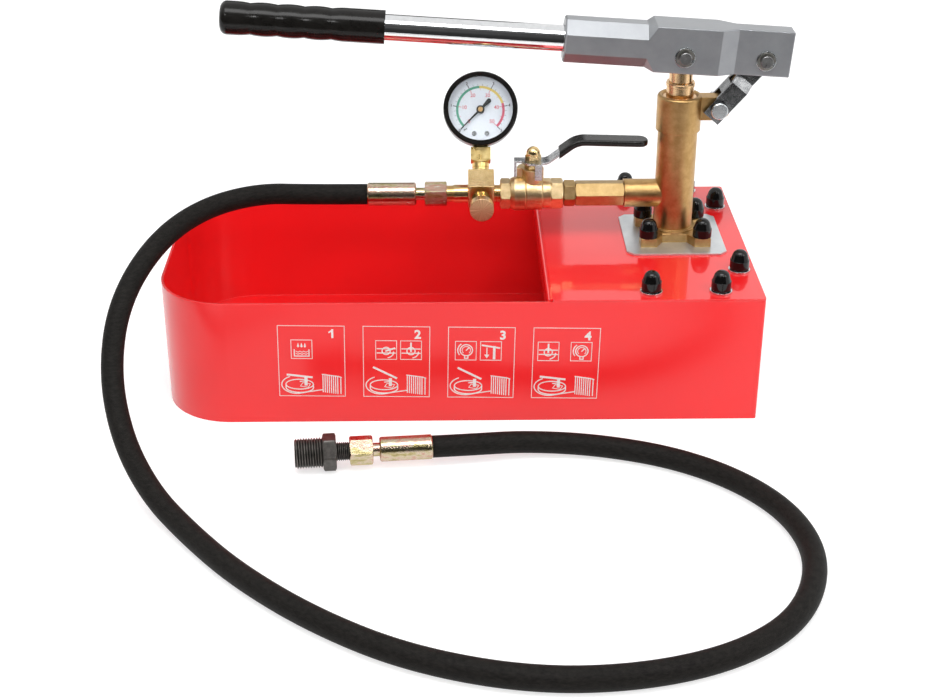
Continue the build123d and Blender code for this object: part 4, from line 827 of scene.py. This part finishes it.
# Grip and bezel. Black plastic with a moulded gloss; the grip is pushed over
# the tube and the bezel snaps round the gauge case.
black_gloss, tree, shader = new_finish("black moulded plastic", (0.008, 0.0075, 0.007), 0, 0.2)
shader.inputs["Specular IOR Level"].default_value = 0.22
grain(tree, shader, 150, (0.005, 0.0045, 0.004), (0.011, 0.010, 0.009), 0.12, 0.24, 0.00004, 0.0005)
dress(["handle_grip", "gauge_bezel"], black_gloss)

# Pins, clips and balls. Plain turned steel; the clips are blackened spring
# steel pushed into grooves.
pin_steel, tree, shader = new_finish("turned steel", (0.4, 0.4, 0.41), 1, 0.3)
grain(tree, shader, 240, (0.22, 0.22, 0.22), (0.48, 0.48, 0.48), 0.2, 0.4, 0.00006, 0.0003)
dress(["plunger_pin", "fulcrum_pin", "inlet_ball", "outlet_ball"], pin_steel)
clip_steel, tree, shader = new_finish("spring steel", (0.4, 0.39, 0.36), 1, 0.3)
grain(tree, shader, 240, (0.28, 0.27, 0.25), (0.52, 0.50, 0.46), 0.22, 0.4, 0.00004, 0.0002)
dress(["pin_circlips", "outlet_spring"], clip_steel)

# Pale parts. White plastic suction pipe and strainer under the deck and, in
# the same tone, the gland packing and the valve's seat rings inside the brass.
pale_plastic, tree, shader = new_finish("pale plastic", (0.82, 0.82, 0.78), 0, 0.45)
grain(tree, shader, 130, (0.78, 0.78, 0.73), (0.86, 0.86, 0.82), 0.4, 0.5, 0.00004, 0.0003)
dress(["suction_tube", "suction_strainer", "valve_seats", "gland_packing"], pale_plastic)

# Gauge dial. A white enamelled card behind the window, printed with a scale,
# a colour band and numbers, and held by two small screws.
joints = frame["record"]["behaviour"]["joints"]
needle_joint = next(joint for joint in joints if joint["name"] == "needle_swing")
gauge_centre = Vector(needle_joint["pos_m"])
gauge_facing = -Vector(needle_joint["axis"]).normalized()
gauge_up = gauge_facing.cross(Vector((1, 0, 0)))
dial_front = max(
    (corner.co - gauge_centre).dot(gauge_facing) for corner in frame["nodes"]["gauge_dial"].data.vertices)
gauge_axes = Matrix((Vector((1, 0, 0)), gauge_up, gauge_facing)).transposed()
gauge_place = Matrix.Translation(gauge_centre) @ gauge_axes.to_4x4()
dial_place = gauge_place @ Matrix.Translation((0, 0, dial_front))
scale_zero = 225.0
scale_sweep = 270.0
scale_full = 50.0
band_inner = 0.0164
band_outer = 0.0182
band_steps = 30
black_long_tick = (0.0180, 0.0204, 0.00058)
black_short_tick = (0.0184, 0.0195, 0.00022)
black_number_radius = 0.0220
black_number_size = 0.0030
black_number_weight = 0.00007
red_long_tick = (0.0145, 0.0163, 0.00042)
red_short_tick = (0.0152, 0.0163, 0.00022)
red_number_radius = 0.0122
red_number_size = 0.0038
red_number_weight = 0.00006


def scale_angle(value):
    """Direction of a scale value on the dial, in degrees."""
    return scale_zero - scale_sweep * value / scale_full


def scale_tick(shell, value, inner, outer, width):
    """Printed line across the scale."""
    angle = math.radians(scale_angle(value))
    ends = [(reach * math.cos(angle), reach * math.sin(angle)) for reach in (inner, outer)]
    stroke(shell, dial_place, ends, width)


def on_scale(value, radius):
    """Place on the dial beside a scale value."""
    angle = math.radians(scale_angle(value))
    return radius * math.cos(angle), radius * math.sin(angle)


dial_white, tree, shader = new_finish("dial card", (0.86, 0.90, 0.94), 0, 0.5)
grain(tree, shader, 400, (0.69, 0.73, 0.78), (0.74, 0.78, 0.83), 0.45, 0.55, 0.00001, 0.0002)
dress(["gauge_dial"], dial_white)
for name, colour, first, last in (
    ("dial_green_band", (0.05, 0.30, 0.19), 225, 92),
    ("dial_yellow_band", (0.72, 0.55, 0.10), 92, 17),
    ("dial_red_band", (0.58, 0.06, 0.12), 17, -45),
):
    shell = bmesh.new()
    outer = arc((0, 0), band_outer, band_outer, first, last, band_steps)
    inner = arc((0, 0), band_inner, band_inner, first, last, band_steps)
    for index in range(band_steps):
        quad = [outer[index], outer[index + 1], inner[index + 1], inner[index]]
        plate(shell, dial_place, quad, 0, ink_depth)
    ink, tree, shader = new_finish(name.replace("_", " "), colour, 0, 0.5)
    grain(tree, shader, 500, [0.94 * part for part in colour], [1.06 * part for part in colour],
          0.45, 0.55, 0.00001, 0.0001)
    add_piece(name, close_shell(name, shell), ink, "pump")

shell = bmesh.new()
for value in range(0, 51, 2):
    scale_tick(shell, value, *(black_short_tick if value % 10 else black_long_tick))
for unit in range(6):
    place = on_scale(10 * unit, black_number_radius)
    numeral(shell, dial_place, str(unit), black_number_size, place, ink_depth, black_number_weight)
black_ink, tree, shader = new_finish("dial black ink", (0.03, 0.03, 0.035), 0, 0.5)
grain(tree, shader, 500, (0.025, 0.025, 0.03), (0.04, 0.04, 0.045), 0.45, 0.55, 0.00001, 0.0001)
add_piece("dial_black_marks", close_shell("dial black marks", shell), black_ink, "pump")

shell = bmesh.new()
for value in range(0, 51, 5):
    if value % 10:
        scale_tick(shell, value, *red_short_tick)
    else:
        scale_tick(shell, value, *red_long_tick)
        place = on_scale(value, red_number_radius)
        numeral(shell, dial_place, str(value), red_number_size, place, ink_depth, red_number_weight)
red_ink, tree, shader = new_finish("dial red ink", (0.62, 0.10, 0.13), 0, 0.5)
grain(tree, shader, 500, (0.58, 0.09, 0.12), (0.66, 0.12, 0.15), 0.45, 0.55, 0.00001, 0.0001)
add_piece("dial_red_marks", close_shell("dial red marks", shell), red_ink, "pump")


def slotted_screw(shell, place, radius, bottom, top, turn):
    """Round screw head with a straight slot."""
    slot_half = radius * 0.16
    floor = bottom + (top - bottom) * 0.45
    plate(shell, place, arc((0, 0), radius, radius, 0, 345, 23), bottom, floor)
    open_angle = math.degrees(math.asin(slot_half / radius))
    for side in (0, 180):
        half = arc((0, 0), radius, radius, side + open_angle, side + 180 - open_angle, 12)
        plate(shell, place @ Matrix.Rotation(turn, 4, "Z"), half, floor, top)


screw_aside = 0.00475
screw_below = 0.0177
screw_radius = 0.0018
screw_height = 0.0007
stop_pin = [(-0.0120, -0.0150), (-0.0104, -0.0142)]
stop_pin_width = 0.0008
stop_pin_height = 0.0012
shell = bmesh.new()
for side in (-1, 1):
    spot = dial_place @ Matrix.Translation((side * screw_aside, -screw_below, 0))
    slotted_screw(shell, spot, screw_radius, 0, screw_height, math.radians(20 * side))
stroke(shell, dial_place, stop_pin, stop_pin_width, stop_pin_height)
add_piece("dial_screws", close_shell("dial screws", shell), darkened_zinc, "pump")

# Gauge needle. Stamped sheet, painted black, pressed on a hub, with a small
# brass screw in its middle.
needle_black, tree, shader = new_finish("needle black", (0.005, 0.005, 0.006), 0, 0.5)
shader.inputs["Specular IOR Level"].default_value = 0.15
grain(tree, shader, 400, (0.004, 0.004, 0.005), (0.008, 0.008, 0.009), 0.45, 0.55, 0.00001, 0.0002)
needle_place = gauge_place @ Matrix.Rotation(math.radians(scale_zero), 4, "Z")
needle_front = max(
    (corner.co - gauge_centre).dot(gauge_facing) for corner in frame["nodes"]["gauge_needle"].data.vertices)
needle_sheet = 0.0006
hub_height = 0.0016
hub_proud = 0.0002
hub_radius = 0.0030
arbor_start = 0.0008
arbor_radius = 0.0008
tail_reach = 0.0090
tail_radius = 0.00175
needle_screw_radius = 0.0019
needle_screw_height = 0.0005
needle_side = [
    (0.0210, 0.00026), (0.0030, 0.00080), (-0.0030, 0.00092), (-0.0060, 0.00135), (-0.0080, 0.00160)]
needle_outline = needle_side + arc((-tail_reach, 0), tail_radius, tail_radius, 65, 295, 12)
needle_outline += [(x, -y) for x, y in needle_side[::-1]]
shell = bmesh.new()
plate(shell, needle_place, needle_outline, needle_front - needle_sheet, needle_front)
for radius, bottom, top in (
    (arbor_radius, arbor_start, needle_front - hub_height),
    (hub_radius, needle_front - hub_height, needle_front + hub_proud),
):
    plate(shell, needle_place, arc((0, 0), radius, radius, 0, 350, 35), bottom, top)
needle_mesh = close_shell("needle", shell)
needle = add_piece("needle_pointer", needle_mesh, needle_black, "gauge_needle")
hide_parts("gauge_needle")
shell = bmesh.new()
screw_foot = needle_front + hub_proud
slotted_screw(
    shell, gauge_place, needle_screw_radius, screw_foot, screw_foot + needle_screw_height, math.radians(90))
add_piece("needle_screw", close_shell("needle screw", shell), cast_brass, "gauge_needle")

# Gauge window. A clear sheet held under the bezel, thin enough to leave the
# dial without a shadow.
clear_window, tree, shader = new_finish("clear window", (0.97, 0.98, 0.99), 0, 0.02)
shader.inputs["Transmission Weight"].default_value = 1.0
shader.inputs["IOR"].default_value = 1.49
dress(["gauge_window"], clear_window)
frame["nodes"]["gauge_window"].visible_shadow = False


# Floor and light. A white table in a white tent, lit by soft boxes high in
# front and at the right, two small ones and a low fill, with dark cards where
# the room is unlit.
def bare_finish(name):
    """Material with no shader yet, and the socket that takes one."""
    material = bpy.data.materials.new(name)
    material.use_nodes = True
    tree = material.node_tree
    tree.nodes.clear()
    return material, tree, add_node(tree, "ShaderNodeOutputMaterial").inputs["Surface"]


def combine(tree, operation, first, second):
    """Value worked out from one socket and from another socket or a number."""
    node = add_node(tree, "ShaderNodeMath")
    node.operation = operation
    join(tree, first, node.inputs[0])
    if isinstance(second, float):
        node.inputs[1].default_value = second
    else:
        join(tree, second, node.inputs[1])
    return node.outputs[0]


def looking_rays(tree):
    """1 for a ray that looks at the white straight on, in a mirror or through glass."""
    rays = add_node(tree, "ShaderNodeLightPath").outputs
    either = combine(tree, "MAXIMUM", rays["Is Camera Ray"], rays["Is Glossy Ray"])
    return combine(tree, "MAXIMUM", either, rays["Is Transmission Ray"])


def sheet_mesh(name, wide, high):
    """Flat rectangle about its own middle."""
    mesh = bpy.data.meshes.new(name)
    corners = [(x * wide / 2, y * high / 2, 0) for x, y in ((-1, -1), (1, -1), (1, 1), (-1, 1))]
    mesh.from_pydata(corners, [], [(0, 1, 2, 3)])
    return mesh


def stand(name, content, place, target):
    """Set a light or a card up in the studio, turned to a point."""
    holder = bpy.data.objects.new(name, content)
    holder.location = place
    holder.rotation_euler = (Vector(target) - Vector(place)).to_track_quat("-Z", "Y").to_euler()
    bpy.context.scene.collection.objects.link(holder)
    return holder


def soft_box(name, place, target, size, power):
    """Rectangular studio light."""
    light = bpy.data.lights.new(name, "AREA")
    light.shape = "RECTANGLE"
    light.size, light.size_y = size
    light.energy = power
    return stand(name, light, place, target)


def dark_flag(name, place, target, size, low, high):
    """Card that only shows in reflections, blotchy and graded from one grey to another."""
    card_tone, tree, surface = bare_finish(name)
    across = add_node(tree, "ShaderNodeTexCoord")
    split = add_node(tree, "ShaderNodeSeparateXYZ")
    join(tree, across.outputs["Generated"], split.inputs["Vector"])
    clutter = add_node(tree, "ShaderNodeTexNoise", Scale=7.0, Detail=5.0)
    join(tree, across.outputs["Generated"], clutter.inputs["Vector"])
    level = add_node(tree, "ShaderNodeMapRange", To_Min=low, To_Max=high)
    join(tree, split.outputs["Y"], level.inputs["Value"])
    dim = add_node(tree, "ShaderNodeEmission")
    uneven = combine(tree, "MULTIPLY", level.outputs["Result"], clutter.outputs["Fac"])
    join(tree, uneven, dim.inputs["Strength"])
    join(tree, dim.outputs[0], surface)
    card = stand(name, sheet_mesh(name, *size), place, target)
    card.data.materials.append(card_tone)
    card.visible_camera = False
    card.visible_diffuse = False
    card.visible_shadow = False
    card.visible_transmission = False


table_size = 12
table_grey = 0.55
table_glow = 0.62
tent_light = 0.68
white = (1, 1, 1, 1)
pump_middle = (0, 0, 0.1)

table_white, tree, surface = bare_finish("white table")
matt = add_node(tree, "ShaderNodeBsdfDiffuse", Color=(table_grey, table_grey, table_grey, 1))
glow = add_node(tree, "ShaderNodeEmission")
join(tree, combine(tree, "MULTIPLY", looking_rays(tree), table_glow), glow.inputs["Strength"])
both = add_node(tree, "ShaderNodeAddShader")
join(tree, matt.outputs[0], both.inputs[0])
join(tree, glow.outputs[0], both.inputs[1])
join(tree, both.outputs[0], surface)
table = bpy.data.objects.new("table", sheet_mesh("table", table_size, table_size))
bpy.context.scene.collection.objects.link(table)
table.data.materials.append(table_white)

tent = bpy.data.worlds.new("tent")
bpy.context.scene.world = tent
tent.use_nodes = True
tree = tent.node_tree
tree.nodes.clear()
sky = add_node(tree, "ShaderNodeBackground", Color=white, Strength=tent_light)
backdrop = add_node(tree, "ShaderNodeBackground", Color=white, Strength=1.0)
pick = add_node(tree, "ShaderNodeMixShader")
join(tree, looking_rays(tree), pick.inputs["Fac"])
join(tree, sky.outputs[0], pick.inputs[1])
join(tree, backdrop.outputs[0], pick.inputs[2])
tent_end = add_node(tree, "ShaderNodeOutputWorld")
join(tree, pick.outputs[0], tent_end.inputs["Surface"])

soft_box("high front box", (-0.1, -0.78, 1.95), pump_middle, (1.5, 0.8), 21)
soft_box("right box", (1.5, -1.1, 1.4), pump_middle, (0.6, 0.8), 6)
soft_box("left spot", (-0.75, -1.7, 1.5), pump_middle, (0.22, 0.22), 3.5)
soft_box("right spot", (0.65, -1.75, 1.5), pump_middle, (0.22, 0.22), 3.5)
fill = soft_box("front fill", (0, -2.2, 0.6), pump_middle, (2.0, 0.8), 7)
fill.visible_glossy = False
dark_flag("front room", (0, -2.4, 1.8), (0, 0, 1.8), (5.2, 3.6), 0.04, 0.36)
dark_flag("front floor", (0, -1.45, 0.004), (0, -1.45, 1), (5.2, 1.9), 0.08, 0.05)
dark_flag("left room", (-2.4, -1.1, 0.9), (0, -1.1, 0.9), (2.2, 1.8), 0.06, 0.4)
dark_flag("back left", (-0.29, 2.0, 0.95), (-0.29, 0, 0.95), (1.05, 0.9), 0.15, 0.1)

bpy.context.scene.view_settings.view_transform = "Standard"
